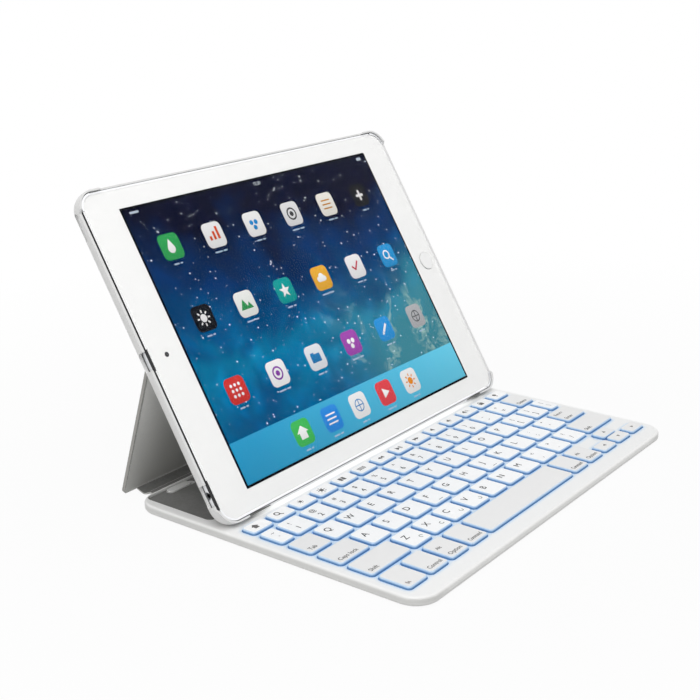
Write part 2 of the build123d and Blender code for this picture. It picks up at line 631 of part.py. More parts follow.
# Spine strip: the flexible strip behind the base, sagging between its two folds
sag_point = (REAR_Y + SPINE_FOLD_REACH + SPINE_SAG_REACH, SPINE_HINGE[1] - SPINE_SAG)
rise_point = (SPINE_HINGE[0] + SPINE_RISE_REACH, SPINE_HINGE[1] + SPINE_RISE)
sag_length = math.dist(sag_point, FLAP_HINGE)
spine_share = 1 - (FLAP_THICKNESS / 2 + HINGE_CLEARANCE) / sag_length
spine_end = (sag_point[0] + (FLAP_HINGE[0] - sag_point[0]) * spine_share,
             sag_point[1] + (FLAP_HINGE[1] - sag_point[1]) * spine_share)
spine_line = ((SPINE_HINGE[0] + SPINE_GAP, SPINE_HINGE[1]), rise_point, sag_point, spine_end)
spine_top = [(y, z + SPINE_THICKNESS / 2) for y, z in spine_line]
spine_bottom = [(y, z - SPINE_THICKNESS / 2) for y, z in spine_line]
with BuildPart() as spine_strip:
    with BuildSketch(Plane.YZ):
        with BuildLine():
            Polyline(*spine_top, *reversed(spine_bottom), close=True)
        make_face()
    extrude(amount=SPINE_WIDTH / 2, both=True)
spine_strip.part.label = "spine_strip"

# Flap skin: outer sheet with a rounded foot and turned hems that frame the board and lining
flap_top = FLAP_LENGTH - FOLD_GAP
flap_middle = flap_top / 2
flap_foot = -FLAP_THICKNESS / 2
with BuildPart() as flap_skin:
    with BuildSketch(Plane.YZ):
        with BuildLine():
            foot_inner = flap_point(0, FLAP_THICKNESS)
            foot_tip = flap_point(flap_foot, FLAP_THICKNESS / 2)
            Polyline(FLAP_FOOT, flap_point(flap_top, 0), flap_point(flap_top, FLAP_THICKNESS), foot_inner)
            ThreePointArc(foot_inner, foot_tip, FLAP_FOOT)
        make_face()
    extrude(amount=FLAP_WIDTH / 2, both=True)
    with BuildSketch(FLAP_OUTER):
        with Locations((0, (flap_top + flap_foot) / 2)):
            RectangleRounded(FLAP_WIDTH, flap_top - flap_foot, FLAP_CORNER)
            with Locations((0, FLAP_CORNER)):
                Rectangle(FLAP_WIDTH, flap_top - flap_foot - 2 * FLAP_CORNER)
    extrude(amount=FLAP_THICKNESS, mode=Mode.INTERSECT)
    with BuildSketch(FLAP_OUTER.offset(FLAP_SKIN)):
        with Locations((0, flap_middle)):
            Rectangle(FLAP_WIDTH - 2 * FLAP_HEM, flap_top - 2 * FLAP_HEM)
    extrude(amount=FLAP_THICKNESS, mode=Mode.SUBTRACT)
flap_skin.part.label = "flap_skin"

# Flap board and lining, stacked in the skin's pocket
with BuildPart() as flap_board:
    with BuildSketch(FLAP_OUTER.offset(FLAP_SKIN)):
        with Locations((0, flap_middle)):
            Rectangle(FLAP_WIDTH - 2 * FLAP_HEM, flap_top - 2 * FLAP_HEM)
    extrude(amount=FLAP_BOARD)
flap_board.part.label = "flap_board"

with BuildPart() as flap_lining:
    with BuildSketch(FLAP_OUTER.offset(FLAP_SKIN + FLAP_BOARD)):
        with Locations((0, flap_middle)):
            Rectangle(FLAP_WIDTH - 2 * FLAP_HEM, flap_top - 2 * FLAP_HEM)
    extrude(amount=FLAP_THICKNESS - FLAP_SKIN - FLAP_BOARD)
flap_lining.part.label = "flap_lining"

# Crease strip: the narrow flexible strip between the two fold lines behind the shell
with BuildPart() as crease_strip:
    with BuildSketch(behind(SKIN_DEPTH)):
        with Locations((0, FOLD_HEIGHT + CREASE_WIDTH / 2)):
            Rectangle(FLAP_WIDTH, CREASE_WIDTH - 2 * FOLD_GAP)
    extrude(amount=CREASE_THICKNESS)
crease_strip.part.label = "crease_strip"

# Shell back skin: glued to the upper half of the shell's back, with a hole for the camera
camera_x = -TABLET_WIDTH / 2 + REAR_CAMERA_INSET
camera_up = TABLET_HEIGHT - REAR_CAMERA_INSET
skin_foot = CREASE_TOP + FOLD_GAP
skin_top = TABLET_HEIGHT - SKIN_TOP_INSET
with BuildPart() as shell_back_skin:
    with BuildSketch(behind(SKIN_DEPTH)):
        with Locations((0, (skin_foot + skin_top) / 2)):
            RectangleRounded(FLAP_WIDTH, skin_top - skin_foot, SKIN_RADIUS)
        with Locations((0, skin_foot + SKIN_RADIUS)):
            Rectangle(FLAP_WIDTH, 2 * SKIN_RADIUS)
        with Locations((camera_x, camera_up)):
            Circle(CAMERA_OPENING, mode=Mode.SUBTRACT)
    extrude(amount=SKIN_THICKNESS)
shell_back_skin.part.label = "shell_back_skin"

# Room inside the shell for the tablet
with BuildPart() as cavity:
    with BuildSketch(behind(CAVITY_DEPTH)):
        with Locations((0, TABLET_MIDDLE)):
            RectangleRounded(TABLET_WIDTH + 2 * SHELL_SIDE_GAP, TABLET_HEIGHT + 2 * SHELL_END_GAP,
                             TABLET_RADIUS + SHELL_END_GAP)
    extrude(amount=CAVITY_DEPTH + 2 * CORNER_RISE)
    fillet(cavity.edges().group_by(FACE_AXIS)[0], TABLET_BACK_RADIUS - SHELL_BACK_GAP)

# Shell: tray with raised corners and openings for the tablet's controls
keeper_places = [(x, KEEPER_EDGE + KEEPER_HEIGHT / 2) for x in MAGNET_PLACES]
volume_x = -TABLET_WIDTH / 2 + VOLUME_LEFT
with BuildPart() as shell:
    with BuildSketch(behind(SHELL_DEPTH)):
        with Locations((0, TABLET_MIDDLE)):
            RectangleRounded(SHELL_WIDTH, SHELL_HEIGHT, SHELL_RADIUS)
    extrude(amount=SHELL_DEPTH + CORNER_RISE)
    fillet(shell.edges().group_by(FACE_AXIS)[0], SHELL_BACK_RADIUS)
    add(cavity.part, mode=Mode.SUBTRACT)
    with BuildSketch(behind(RIM_DROP)):
        with Locations((0, TABLET_MIDDLE)):
            Rectangle(2 * SHELL_WIDTH, SHELL_HEIGHT - 2 * CORNER_LENGTH)
    extrude(amount=RIM_DROP + CORNER_RISE, taper=-CORNER_SLOPE, mode=Mode.SUBTRACT)
    with BuildSketch(behind(RIM_DROP)):
        with Locations((0, TABLET_MIDDLE)):
            Rectangle(SHELL_WIDTH - 2 * CORNER_WIDTH, 2 * SHELL_HEIGHT)
    extrude(amount=RIM_DROP + CORNER_RISE, taper=-CORNER_SLOPE, mode=Mode.SUBTRACT)
    with BuildSketch(LEFT_SIDE):
        with Locations((TABLET_MIDDLE, 0)):
            RectangleRounded(NOTCH_LENGTH, 2 * NOTCH_DEPTH, NOTCH_RADIUS)
        with Locations((JACK_HEIGHT, 0)):
            RectangleRounded(JACK_NOTCH_LENGTH, 2 * CAVITY_DEPTH, NOTCH_RADIUS)
        with Locations((SLEEP_HEIGHT, (RELIEF_FRONT + CAVITY_DEPTH) / 2)):
            RectangleRounded(RELIEF_LENGTH, CAVITY_DEPTH - RELIEF_FRONT, BUTTON_WIDTH)
    extrude(amount=-SIDE_CUT, mode=Mode.SUBTRACT)
    with BuildSketch(RIGHT_SIDE):
        with Locations((TABLET_MIDDLE, -PORT_DEPTH)):
            RectangleRounded(CONNECTOR_LENGTH, CONNECTOR_WIDTH, SPEAKER_WIDTH / 2)
            with GridLocations(2 * SPEAKER_OFFSET, 0, 2, 1):
                SlotOverall(SPEAKER_LENGTH, SPEAKER_WIDTH)
    extrude(amount=-SIDE_CUT, mode=Mode.SUBTRACT)
    with BuildSketch(behind(CAVITY_DEPTH)):
        with Locations((volume_x, TABLET_HEIGHT + SHELL_END_GAP + SHELL_END_WALL)):
            Rectangle(VOLUME_RELIEF_LENGTH, 2 * SIDE_CUT)
    extrude(amount=CAVITY_DEPTH - RELIEF_FRONT, mode=Mode.SUBTRACT)
    with BuildSketch(behind(SHELL_DEPTH)):
        with Locations((camera_x, camera_up)):
            Circle(CAMERA_OPENING)
    extrude(amount=SHELL_BACK, mode=Mode.SUBTRACT)
    with BuildSketch(behind(CAVITY_DEPTH + KEEPER_THICKNESS)):
        with Locations(*keeper_places):
            Rectangle(KEEPER_LENGTH + PART_GAP, KEEPER_HEIGHT + PART_GAP)
    extrude(amount=KEEPER_THICKNESS, mode=Mode.SUBTRACT)
shell.part.label = "shell"

# Keeper strips: steel plates in pockets at the foot of the shell, drawn down by the dock magnets
with BuildPart() as keeper_strips:
    with BuildSketch(behind(CAVITY_DEPTH + KEEPER_THICKNESS)):
        with Locations(*keeper_places):
            Rectangle(KEEPER_LENGTH, KEEPER_HEIGHT)
    extrude(amount=KEEPER_THICKNESS)
keeper_strips.part.label = "keeper_strips"

# Tablet: depths of its layers behind the front of the glass
PRINT_DEPTH = GLASS_THICKNESS + PRINT_THICKNESS
DISPLAY_DEPTH = GLASS_THICKNESS + DISPLAY_THICKNESS
CELL_DEPTH = DISPLAY_DEPTH + PART_GAP
glass_width = TABLET_WIDTH - 2 * GLASS_INSET
glass_height = TABLET_HEIGHT - 2 * GLASS_INSET
glass_radius = TABLET_RADIUS - GLASS_INSET
home_x = TABLET_WIDTH / 2 - HOME_INSET
front_camera_x = -TABLET_WIDTH / 2 + CAMERA_INSET

# Tablet housing: back shell with a ledge for the glass, corner rims and openings for its controls
with BuildPart() as tablet_housing:
    with BuildSketch(behind(TABLET_DEPTH)):
        tablet_outline()
    extrude(amount=TABLET_DEPTH - PRINT_DEPTH + RIM_RISE)
    fillet(tablet_housing.edges().group_by(FACE_AXIS)[0], TABLET_BACK_RADIUS)
    with BuildSketch(behind(PRINT_DEPTH)):
        with Locations((0, TABLET_MIDDLE)):
            RectangleRounded(glass_width + 2 * DISPLAY_CLEARANCE, glass_height + 2 * DISPLAY_CLEARANCE,
                             glass_radius + DISPLAY_CLEARANCE)
            Rectangle(TABLET_WIDTH, TABLET_HEIGHT - 2 * RIM_CORNER)
            Rectangle(TABLET_WIDTH - 2 * RIM_CORNER, TABLET_HEIGHT)
    extrude(amount=RIM_RISE, mode=Mode.SUBTRACT)
    with BuildSketch(behind(TABLET_DEPTH - TABLET_BACK)):
        with Locations((0, TABLET_MIDDLE)):
            RectangleRounded(TABLET_WIDTH - 2 * TABLET_BACK_RADIUS, TABLET_HEIGHT - 2 * TABLET_BACK_RADIUS,
                             TABLET_RADIUS - TABLET_WALL)
    extrude(amount=TABLET_DEPTH - TABLET_BACK, mode=Mode.SUBTRACT)
    with BuildSketch(behind(PRINT_DEPTH + GASKET_HEIGHT)):
        with Locations((0, TABLET_MIDDLE)):
            with GridLocations(TABLET_WIDTH - GASKET_SIDE, 0, 2, 1):
                Rectangle(GASKET_SIDE, TABLET_HEIGHT - 2 * RIM_CORNER)
            with GridLocations(0, glass_height + GASKET_END, 1, 2):
                Rectangle(TABLET_WIDTH - 2 * RIM_CORNER, GASKET_END)
    extrude(amount=GASKET_HEIGHT, mode=Mode.SUBTRACT)
    with BuildSketch(LEFT_SIDE):
        with Locations((SLEEP_HEIGHT, PORT_DEPTH)):
            RectangleRounded(SLEEP_LENGTH + 2 * BUTTON_CLEARANCE, BUTTON_WIDTH + 2 * BUTTON_CLEARANCE,
                             BUTTON_WIDTH / 2)
        with Locations((JACK_HEIGHT, PORT_DEPTH)):
            Circle(JACK_RADIUS)
    extrude(amount=-(SHELL_WIDTH - TABLET_WIDTH) / 2 - JACK_LENGTH, mode=Mode.SUBTRACT)
    with BuildSketch(behind(PORT_DEPTH + BUTTON_WIDTH / 2 + BUTTON_CLEARANCE)):
        with Locations((volume_x, TABLET_HEIGHT)):
            Rectangle(VOLUME_LENGTH + 2 * BUTTON_CLEARANCE, 2 * TABLET_BACK_RADIUS)
    extrude(amount=BUTTON_WIDTH + 2 * BUTTON_CLEARANCE, mode=Mode.SUBTRACT)
    with BuildSketch(behind(TABLET_DEPTH)):
        with Locations((camera_x, camera_up)):
            Circle(REAR_CAMERA_RADIUS)
    extrude(amount=REAR_CAMERA_THICKNESS, mode=Mode.SUBTRACT)
    with BuildSketch(behind(HOME_DROP + HOME_THICKNESS + HOME_TRAVEL_ROOM)):
        with Locations((home_x, TABLET_MIDDLE)):
            Circle(HOME_RADIUS + BUTTON_CLEARANCE)
    extrude(amount=HOME_THICKNESS + HOME_TRAVEL_ROOM, mode=Mode.SUBTRACT)
tablet_housing.part.label = "tablet_housing"

# Gasket: dark strips beside the straight edges of the glass
with BuildPart() as tablet_gasket:
    with BuildSketch(behind(PRINT_DEPTH + GASKET_HEIGHT)):
        with Locations((0, TABLET_MIDDLE)):
            with GridLocations(TABLET_WIDTH - GASKET_SIDE, 0, 2, 1):
                Rectangle(GASKET_SIDE, TABLET_HEIGHT - 2 * RIM_CORNER)
            with GridLocations(0, glass_height + GASKET_END, 1, 2):
                Rectangle(TABLET_WIDTH - 2 * RIM_CORNER, GASKET_END)
    extrude(amount=GASKET_HEIGHT)
tablet_gasket.part.label = "tablet_gasket"

# Glass and the printed border behind it, both with a hole for the home button
with BuildPart() as tablet_glass:
    with BuildSketch(behind(GLASS_THICKNESS)):
        with Locations((0, TABLET_MIDDLE)):
            RectangleRounded(glass_width, glass_height, glass_radius)
        with Locations((home_x, TABLET_MIDDLE)):
            Circle(HOME_RADIUS + BUTTON_CLEARANCE, mode=Mode.SUBTRACT)
    extrude(amount=GLASS_THICKNESS)
    fillet(tablet_glass.edges().group_by(FACE_AXIS)[-1], PRINT_THICKNESS)
tablet_glass.part.label = "tablet_glass"

with BuildPart() as tablet_border:
    with BuildSketch(behind(PRINT_DEPTH)):
        with Locations((0, TABLET_MIDDLE)):
            RectangleRounded(glass_width, glass_height, glass_radius)
            Rectangle(DISPLAY_WIDTH, DISPLAY_HEIGHT, mode=Mode.SUBTRACT)
        with Locations((home_x, TABLET_MIDDLE)):
            Circle(HOME_RADIUS + BUTTON_CLEARANCE, mode=Mode.SUBTRACT)
        with Locations((front_camera_x, TABLET_MIDDLE)):
            Circle(CAMERA_RADIUS + DISPLAY_CLEARANCE, mode=Mode.SUBTRACT)
    extrude(amount=PRINT_THICKNESS)
tablet_border.part.label = "tablet_border"

# Display panel in the window of the border
with BuildPart() as tablet_display:
    with BuildSketch(behind(DISPLAY_DEPTH)):
        with Locations((0, TABLET_MIDDLE)):
            Rectangle(DISPLAY_WIDTH - 2 * DISPLAY_CLEARANCE, DISPLAY_HEIGHT - 2 * DISPLAY_CLEARANCE)
    extrude(amount=DISPLAY_THICKNESS)
tablet_display.part.label = "tablet_display"

# Cells and logic board of the tablet
cell_depth = CELL_DEPTH + CELL_THICKNESS
with BuildPart() as tablet_cells:
    with BuildSketch(behind(cell_depth)):
        with Locations((-LOGIC_WIDTH / 2, TABLET_MIDDLE)):
            with GridLocations(CELL_WIDTH + PART_GAP, 0, 2, 1):
                RectangleRounded(CELL_WIDTH, CELL_HEIGHT, KEY_RADIUS)
    extrude(amount=CELL_THICKNESS)
tablet_cells.part.label = "tablet_cells"

with BuildPart() as tablet_board:
    with BuildSketch(behind(TABLET_DEPTH - TABLET_BACK)):
        with Locations((home_x - 2 * HOME_RADIUS, TABLET_MIDDLE)):
            Rectangle(LOGIC_WIDTH, LOGIC_HEIGHT)
    extrude(amount=LOGIC_THICKNESS)
tablet_board.part.label = "tablet_board"

# Cameras
with BuildPart() as front_camera:
    with BuildSketch(behind(DISPLAY_DEPTH)):
        with Locations((front_camera_x, TABLET_MIDDLE)):
            Circle(CAMERA_RADIUS)
    extrude(amount=DISPLAY_THICKNESS)
front_camera.part.label = "front_camera"

with BuildPart() as rear_camera:
    with BuildSketch(behind(TABLET_DEPTH)):
        with Locations((camera_x, camera_up)):
            Circle(REAR_CAMERA_RADIUS - DISPLAY_CLEARANCE)
    extrude(amount=REAR_CAMERA_THICKNESS)
rear_camera.part.label = "rear_camera"

# Headphone socket in the left edge
jack_plane = LEFT_SIDE.offset(-(SHELL_WIDTH - TABLET_WIDTH) / 2 - JACK_INSET)
with BuildPart() as headphone_socket:
    with BuildSketch(jack_plane):
        with Locations((JACK_HEIGHT, PORT_DEPTH)):
            Circle(JACK_RADIUS - DISPLAY_CLEARANCE)
    extrude(amount=JACK_INSET - JACK_LENGTH)
    with BuildSketch(jack_plane):
        with Locations((JACK_HEIGHT, PORT_DEPTH)):
            Circle(JACK_BORE)
    extrude(amount=JACK_INSET + BUTTON_THICKNESS - JACK_LENGTH, mode=Mode.SUBTRACT)
headphone_socket.part.label = "headphone_socket"

# Home button, sleep button and volume rocker
with BuildPart() as home_button:
    with BuildSketch(behind(HOME_DROP + HOME_THICKNESS)):
        with Locations((home_x, TABLET_MIDDLE)):
            Circle(HOME_RADIUS)
    extrude(amount=HOME_THICKNESS)
home_button.part.label = "home_button"

tablet_left = LEFT_SIDE.offset(-(SHELL_WIDTH - TABLET_WIDTH) / 2)
with BuildPart() as sleep_button:
    with BuildSketch(tablet_left.offset(BUTTON_PROUD)):
        with Locations((SLEEP_HEIGHT, PORT_DEPTH)):
            RectangleRounded(SLEEP_LENGTH, BUTTON_WIDTH, BUTTON_WIDTH / 2 - BUTTON_CLEARANCE / 2)
    extrude(amount=-BUTTON_THICKNESS - BUTTON_PROUD)
sleep_button.part.label = "sleep_button"

with BuildPart() as volume_rocker:
    with BuildSketch(behind(PORT_DEPTH + BUTTON_WIDTH / 2)):
        with Locations((volume_x, TABLET_HEIGHT + BUTTON_PROUD)):
            Rectangle(VOLUME_LENGTH, BUTTON_THICKNESS + BUTTON_PROUD, align=(Align.CENTER, Align.MAX))
    extrude(amount=BUTTON_WIDTH)
volume_rocker.part.label = "volume_rocker"

# Files
base_pieces = [bottom_cover, base_skin, top_frame, recess_lining, power_switch, key_circuit, light_guide,
               key_supports, key_domes, battery, controller_board, charging_socket, cover_screws,
               dock_magnets, spine_anchor]
cover_pieces = [spine_strip, flap_skin, flap_board, flap_lining, crease_strip, shell_back_skin, shell,
                keeper_strips]
tablet_pieces = [tablet_housing, tablet_gasket, tablet_glass, tablet_border, tablet_display, tablet_cells,
                 tablet_board, front_camera, rear_camera, headphone_socket, home_button, sleep_button,
                 volume_rocker]
for piece in base_pieces + cover_pieces + tablet_pieces:
    export_step(piece.part, f"parts/{piece.part.label}.step")
for key_name, cap in key_caps.items():
    export_step(cap, f"parts/{key_name}.step")
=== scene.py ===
import json
import math

import bmesh
import bpy
from mathutils import Matrix, Vector


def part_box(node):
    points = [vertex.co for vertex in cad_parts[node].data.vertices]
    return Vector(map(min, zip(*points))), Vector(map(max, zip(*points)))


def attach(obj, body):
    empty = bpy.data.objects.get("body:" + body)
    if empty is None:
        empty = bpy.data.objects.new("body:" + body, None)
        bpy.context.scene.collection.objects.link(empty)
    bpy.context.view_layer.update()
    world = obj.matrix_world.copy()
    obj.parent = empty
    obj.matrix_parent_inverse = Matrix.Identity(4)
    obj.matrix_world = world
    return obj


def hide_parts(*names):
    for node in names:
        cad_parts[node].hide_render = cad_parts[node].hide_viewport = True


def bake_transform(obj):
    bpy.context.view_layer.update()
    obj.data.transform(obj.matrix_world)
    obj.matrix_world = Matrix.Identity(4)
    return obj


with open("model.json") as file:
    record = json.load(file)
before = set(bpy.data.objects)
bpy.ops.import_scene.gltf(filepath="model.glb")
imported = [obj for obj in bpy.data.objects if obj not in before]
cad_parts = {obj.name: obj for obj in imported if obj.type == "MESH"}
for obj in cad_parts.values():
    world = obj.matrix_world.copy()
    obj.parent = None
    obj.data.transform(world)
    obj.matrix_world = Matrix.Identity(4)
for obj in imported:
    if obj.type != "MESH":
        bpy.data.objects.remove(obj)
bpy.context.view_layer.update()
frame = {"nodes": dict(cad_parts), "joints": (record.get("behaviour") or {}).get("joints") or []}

MM = 0.001

# --------------------------------------------------
# Bottom cover, with the skin glued under it. The cover is a shallow tray moulded in white ABS, with a
# fine spark-eroded grain; its white is painted greyer than the deck's, as painted shade on the base's side.
# The skin is polyurethane leatherette on a woven backing, embossed with a pebble grain, and it wraps on
# behind the base as the outside of the whole folding cover.
COVER_WHITE_PAINTED_SHADE = "#e2e2e0"
COVER_SHADE = "#d9d9d7"
LEATHERETTE = "#dbdbd8"
LEATHERETTE_DEEP = "#c3c3bf"
ABS_GRAIN = 0.35 * MM
GRAIN_DEPTH = 0.004 * MM
PEBBLE = 1.1 * MM
PEBBLE_STIR = 1.5 * MM
PEBBLE_CREASE = 0.05 * MM
TONE_DRIFT = 60 * MM


def paint(code):
    """Linear RGBA of an sRGB hex colour."""
    channels = [int(code[i:i + 2], 16) / 255 for i in (1, 3, 5)]
    linear = [c / 12.92 if c <= 0.04045 else ((c + 0.055) / 1.055) ** 2.4 for c in channels]
    return (*linear, 1.0)


def feed(node, inputs):
    """Fills inputs of a node: each takes a value, a socket, or a node, which gives its first output."""
    for name, value in inputs.items():
        if isinstance(value, bpy.types.Node):
            value = value.outputs[0]
        if isinstance(value, bpy.types.NodeSocket):
            node.id_data.links.new(value, node.inputs[name])
        else:
            node.inputs[name].default_value = value


def add(tree, kind, inputs=None, stops=(), **settings):
    """Adds one node: its inputs, a colour ramp's (position, paint) stops, and its own settings."""
    made = tree.nodes.new(kind)
    for name, value in settings.items():
        setattr(made, name, value)
    for _ in stops[2:]:
        made.color_ramp.elements.new(0.5)
    for i, (position, colour) in enumerate(stops):
        made.color_ramp.elements[i].position = position
        made.color_ramp.elements[i].color = paint(colour)
    feed(made, inputs or {})
    return made


def new_finish(name, **values):
    """A node material and its surface shader: (material, tree, shader, the place of each point)."""
    material = bpy.data.materials.new(name)
    material.use_nodes = True
    tree = material.node_tree
    tree.nodes.clear()
    shader = add(tree, "ShaderNodeBsdfPrincipled",
                 {socket.replace("_", " "): value for socket, value in values.items()})
    add(tree, "ShaderNodeOutputMaterial", {"Surface": shader})
    return material, tree, shader, add(tree, "ShaderNodeTexCoord").outputs["Object"]


def opened(material):
    """A finish to add to: (tree, shader, the place of each point)."""
    tree = material.node_tree
    return tree, tree.nodes["Principled BSDF"], tree.nodes["Texture Coordinate"].outputs["Object"]


def two_tone(shader, factor, first, second, into="Base Color"):
    """Colours a surface between two paints by a factor; the first may be a node or a socket."""
    first = paint(first) if isinstance(first, str) else first
    mixed = add(shader.id_data, "ShaderNodeMix", {"Factor": factor, 6: first, 7: paint(second)},
                data_type="RGBA")
    feed(shader, {into: mixed.outputs[2]})
    return mixed.outputs[2]


def relief(shader, height, depth, strength=1.0):
    """Raises a surface by a height, in metres."""
    bump = add(shader.id_data, "ShaderNodeBump", {"Height": height, "Distance": depth, "Strength": strength})
    feed(shader, {"Normal": bump})


def moulded(name, colour, shade, roughness, coat=0.0):
    """Moulded plastic: an even colour with a slow drift of tone, and the fine grain of its mould."""
    material, tree, shader, place = new_finish(name, Roughness=roughness, IOR=1.5, Coat_Weight=coat,
                                               Coat_Roughness=0.12)
    drift = add(tree, "ShaderNodeTexNoise", {"Vector": place, "Scale": 1 / TONE_DRIFT, "Detail": 2.0})
    fine = add(tree, "ShaderNodeTexNoise", {"Vector": place, "Scale": 1 / ABS_GRAIN, "Detail": 3.0})
    two_tone(shader, drift, colour, shade)
    relief(shader, fine, GRAIN_DEPTH)
    return material


def leatherette(name, colour, crease):
    """Embossed polyurethane: rounded pebbles with darker creases, satin, with a faint soft sheen."""
    material, tree, shader, place = new_finish(name, Roughness=0.52, IOR=1.46, Sheen_Weight=0.15)
    stir = add(tree, "ShaderNodeTexNoise", {"Vector": place, "Scale": 1 / (2.5 * PEBBLE), "Detail": 3.0})
    moved = add(tree, "ShaderNodeMixRGB", {"Fac": PEBBLE_STIR, 1: place, 2: stir.outputs["Color"]},
                blend_type="ADD")
    pebble = add(tree, "ShaderNodeTexVoronoi", {"Vector": moved, "Scale": 1 / PEBBLE},
                 feature="DISTANCE_TO_EDGE")
    dome = add(tree, "ShaderNodeMapRange", {"Value": pebble, "From Max": 0.28},
               interpolation_type="SMOOTHSTEP")
    two_tone(shader, dome, crease, colour)
    relief(shader, dome, PEBBLE_CREASE, 0.8)
    return material


def dress(material, *nodes):
    """Puts a material on CAD nodes."""
    for name in nodes:
        for holder in frame["nodes"][name].material_slots:
            holder.material = material


# Painted shade: the cover is painted greyer than the deck's white ABS.
cover_plastic = moulded("white_abs_moulded_painted_shade", COVER_WHITE_PAINTED_SHADE, COVER_SHADE, 0.42)
outer_leatherette = leatherette("leatherette_embossed", LEATHERETTE, LEATHERETTE_DEEP)
dress(cover_plastic, "bottom_cover")
dress(outer_leatherette, "base_skin")

# --------------------------------------------------
# Fasteners and iron of the base: self-tapping steel screws, zinc plated; four sintered magnets, nickel
# plated; and the tab of the spine, the same leatherette, clamped between cover and frame.
ZINC = "#b9bcc0"
NICKEL = "#c9c5bd"
SCRATCH = 0.003 * MM


def plated(name, colour, shade, roughness, grain):
    """Plated or rolled metal: bright, with small patches of duller tone and fine scratches."""
    material, tree, shader, place = new_finish(name, Metallic=1.0, Roughness=roughness)
    patches = add(tree, "ShaderNodeTexNoise", {"Vector": place, "Scale": 1 / grain, "Detail": 5.0})
    two_tone(shader, patches, colour, shade)
    feed(shader, {"Roughness": add(tree, "ShaderNodeMapRange", {"Value": patches, "To Min": roughness * 0.8,
                                                                "To Max": roughness * 1.3})})
    relief(shader, patches, SCRATCH)
    return material


dress(plated("steel_zinc_plated", ZINC, "#9a9da2", 0.3, 0.6 * MM), "cover_screws")
dress(plated("magnet_nickel_plated", NICKEL, "#aca89f", 0.22, 1.5 * MM), "dock_magnets")
dress(outer_leatherette, "spine_anchor")

# --------------------------------------------------
# Key works: a polyester circuit film with printed silver tracks, an acrylic light guide lit in blue
# along its edge, white acetal supports and clear silicone domes. The guide's light comes up round
# every key cap.
GUIDE_BLUE = "#6ea6e6"
GUIDE_GLOW = 0.5
TRACK_PITCH = 2.0 * MM
TRACK_SCALE = 3.14 / (20 * TRACK_PITCH)  # one wave is a track and a gap, each a pitch wide
GUIDE_DOT = 1.2 * MM

circuit_film, tree, shader, place = new_finish("polyester_film_printed", Roughness=0.3, IOR=1.57)
tracks = add(tree, "ShaderNodeTexWave", {"Vector": place, "Scale": TRACK_SCALE, "Distortion": 1.5},
             bands_direction="Y")
line = add(tree, "ShaderNodeMapRange", {"Value": tracks.outputs["Fac"], "From Min": 0.6, "From Max": 0.7})
two_tone(shader, line, "#8fa39a", "#c9ccce")
dress(circuit_film, "key_circuit")

light_guide, tree, shader, place = new_finish("acrylic_light_guide", Roughness=0.25, IOR=1.49,
                                              Emission_Strength=GUIDE_GLOW)
spots = add(tree, "ShaderNodeTexVoronoi", {"Vector": place, "Scale": 1 / GUIDE_DOT, "Randomness": 0.2})
feed(shader, {"Emission Color": two_tone(shader, spots, GUIDE_BLUE, "#9cc6f2")})
dress(light_guide, "light_guide")

dress(moulded("acetal_white_moulded", "#ecebe6", "#e2e1db", 0.35), "key_supports")
dome_silicone = moulded("silicone_rubber_pressed", "#dfe3e6", "#cfd4d8", 0.4)
feed(opened(dome_silicone)[1], {"Subsurface Weight": 0.2})
dress(dome_silicone, "key_domes")

# --------------------------------------------------
# Power and control under the recess: a lithium pouch cell in silver laminate, a green glass-epoxy
# board with two black chips, and a drawn steel charging socket in the right edge.
PAD_SIZE = 2.2 * MM
MASK_THICKNESS = 0.02 * MM

dress(plated("aluminium_laminate_pouch", "#c4c6c9", "#a9abaf", 0.35, 8 * MM), "battery")

board_epoxy, tree, shader, place = new_finish("solder_mask_on_epoxy", Roughness=0.35, IOR=1.5)
cells = add(tree, "ShaderNodeTexVoronoi", {"Vector": place, "Scale": 1 / PAD_SIZE}, distance="CHEBYCHEV")
edge = add(tree, "ShaderNodeMapRange", {"Value": cells, "From Min": 0.35, "From Max": 0.45})
two_tone(shader, edge, "#17653a", "#2b8450")
relief(shader, edge, MASK_THICKNESS)
dress(board_epoxy, "controller_board", "tablet_board")
dress(plated("steel_drawn_socket", "#aeb1b5", "#8e9196", 0.28, 1.0 * MM), "charging_socket")

# --------------------------------------------------
# Top frame: deck, side wall and recess pan moulded in one piece of white ABS, satin, with eased edges.
# Below the deck's top the frame is painted grey as painted shade, greyest at the left and right ends.
# Light from the guide washes over the deck between the keys and a few millimetres round them; it is
# painted into the deck's colour as a blue tint. Behind the keys a strip glows faintly as painted light,
# which lifts the contact shadow at the shell's foot.
WHITE_ABS = "#f7f7f6"
WALL_FRONT_PAINTED_SHADE = "#eeeeec"
WALL_END_PAINTED_SHADE = "#d8d8d6"
WALL_FALL = 1.2 * MM
CORNER_START = 24 * MM
CORNER_END = 8 * MM
DECK_PAINTED_GLOW = "#b3d8f8"
GLOW_EDGE = 3.2 * MM
GLOW_REACH = 3.0 * MM
GLOW_SHADE = 0.24
FOOT_ROOM = 14 * MM
FOOT_PAINTED_LIGHT = 0.5


def coordinates(place):
    """Each point's coordinates, and how far it is from the middle plane of the case."""
    split = add(place.id_data, "ShaderNodeSeparateXYZ", {0: place})
    return split, add(place.id_data, "ShaderNodeMath", {0: split}, operation="ABSOLUTE")


def paint_over(shader, factor, colour, into="Base Color"):
    """Paints over what a surface has already, by a factor."""
    two_tone(shader, factor, shader.inputs[into].links[0].from_socket, colour, into)


key_nodes = [name for name in frame["nodes"] if name.startswith("key_") or name.endswith("_keys")]
key_nodes = [name for name in key_nodes if name not in ("key_circuit", "key_supports", "key_domes")]
key_boxes = [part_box(name) for name in key_nodes]
field_low = Vector([min(low[i] for low, high in key_boxes) for i in range(3)])
field_high = Vector([max(high[i] for low, high in key_boxes) for i in range(3)])
field_middle = (field_low + field_high) / 2
field_half = (field_high - field_low) / 2

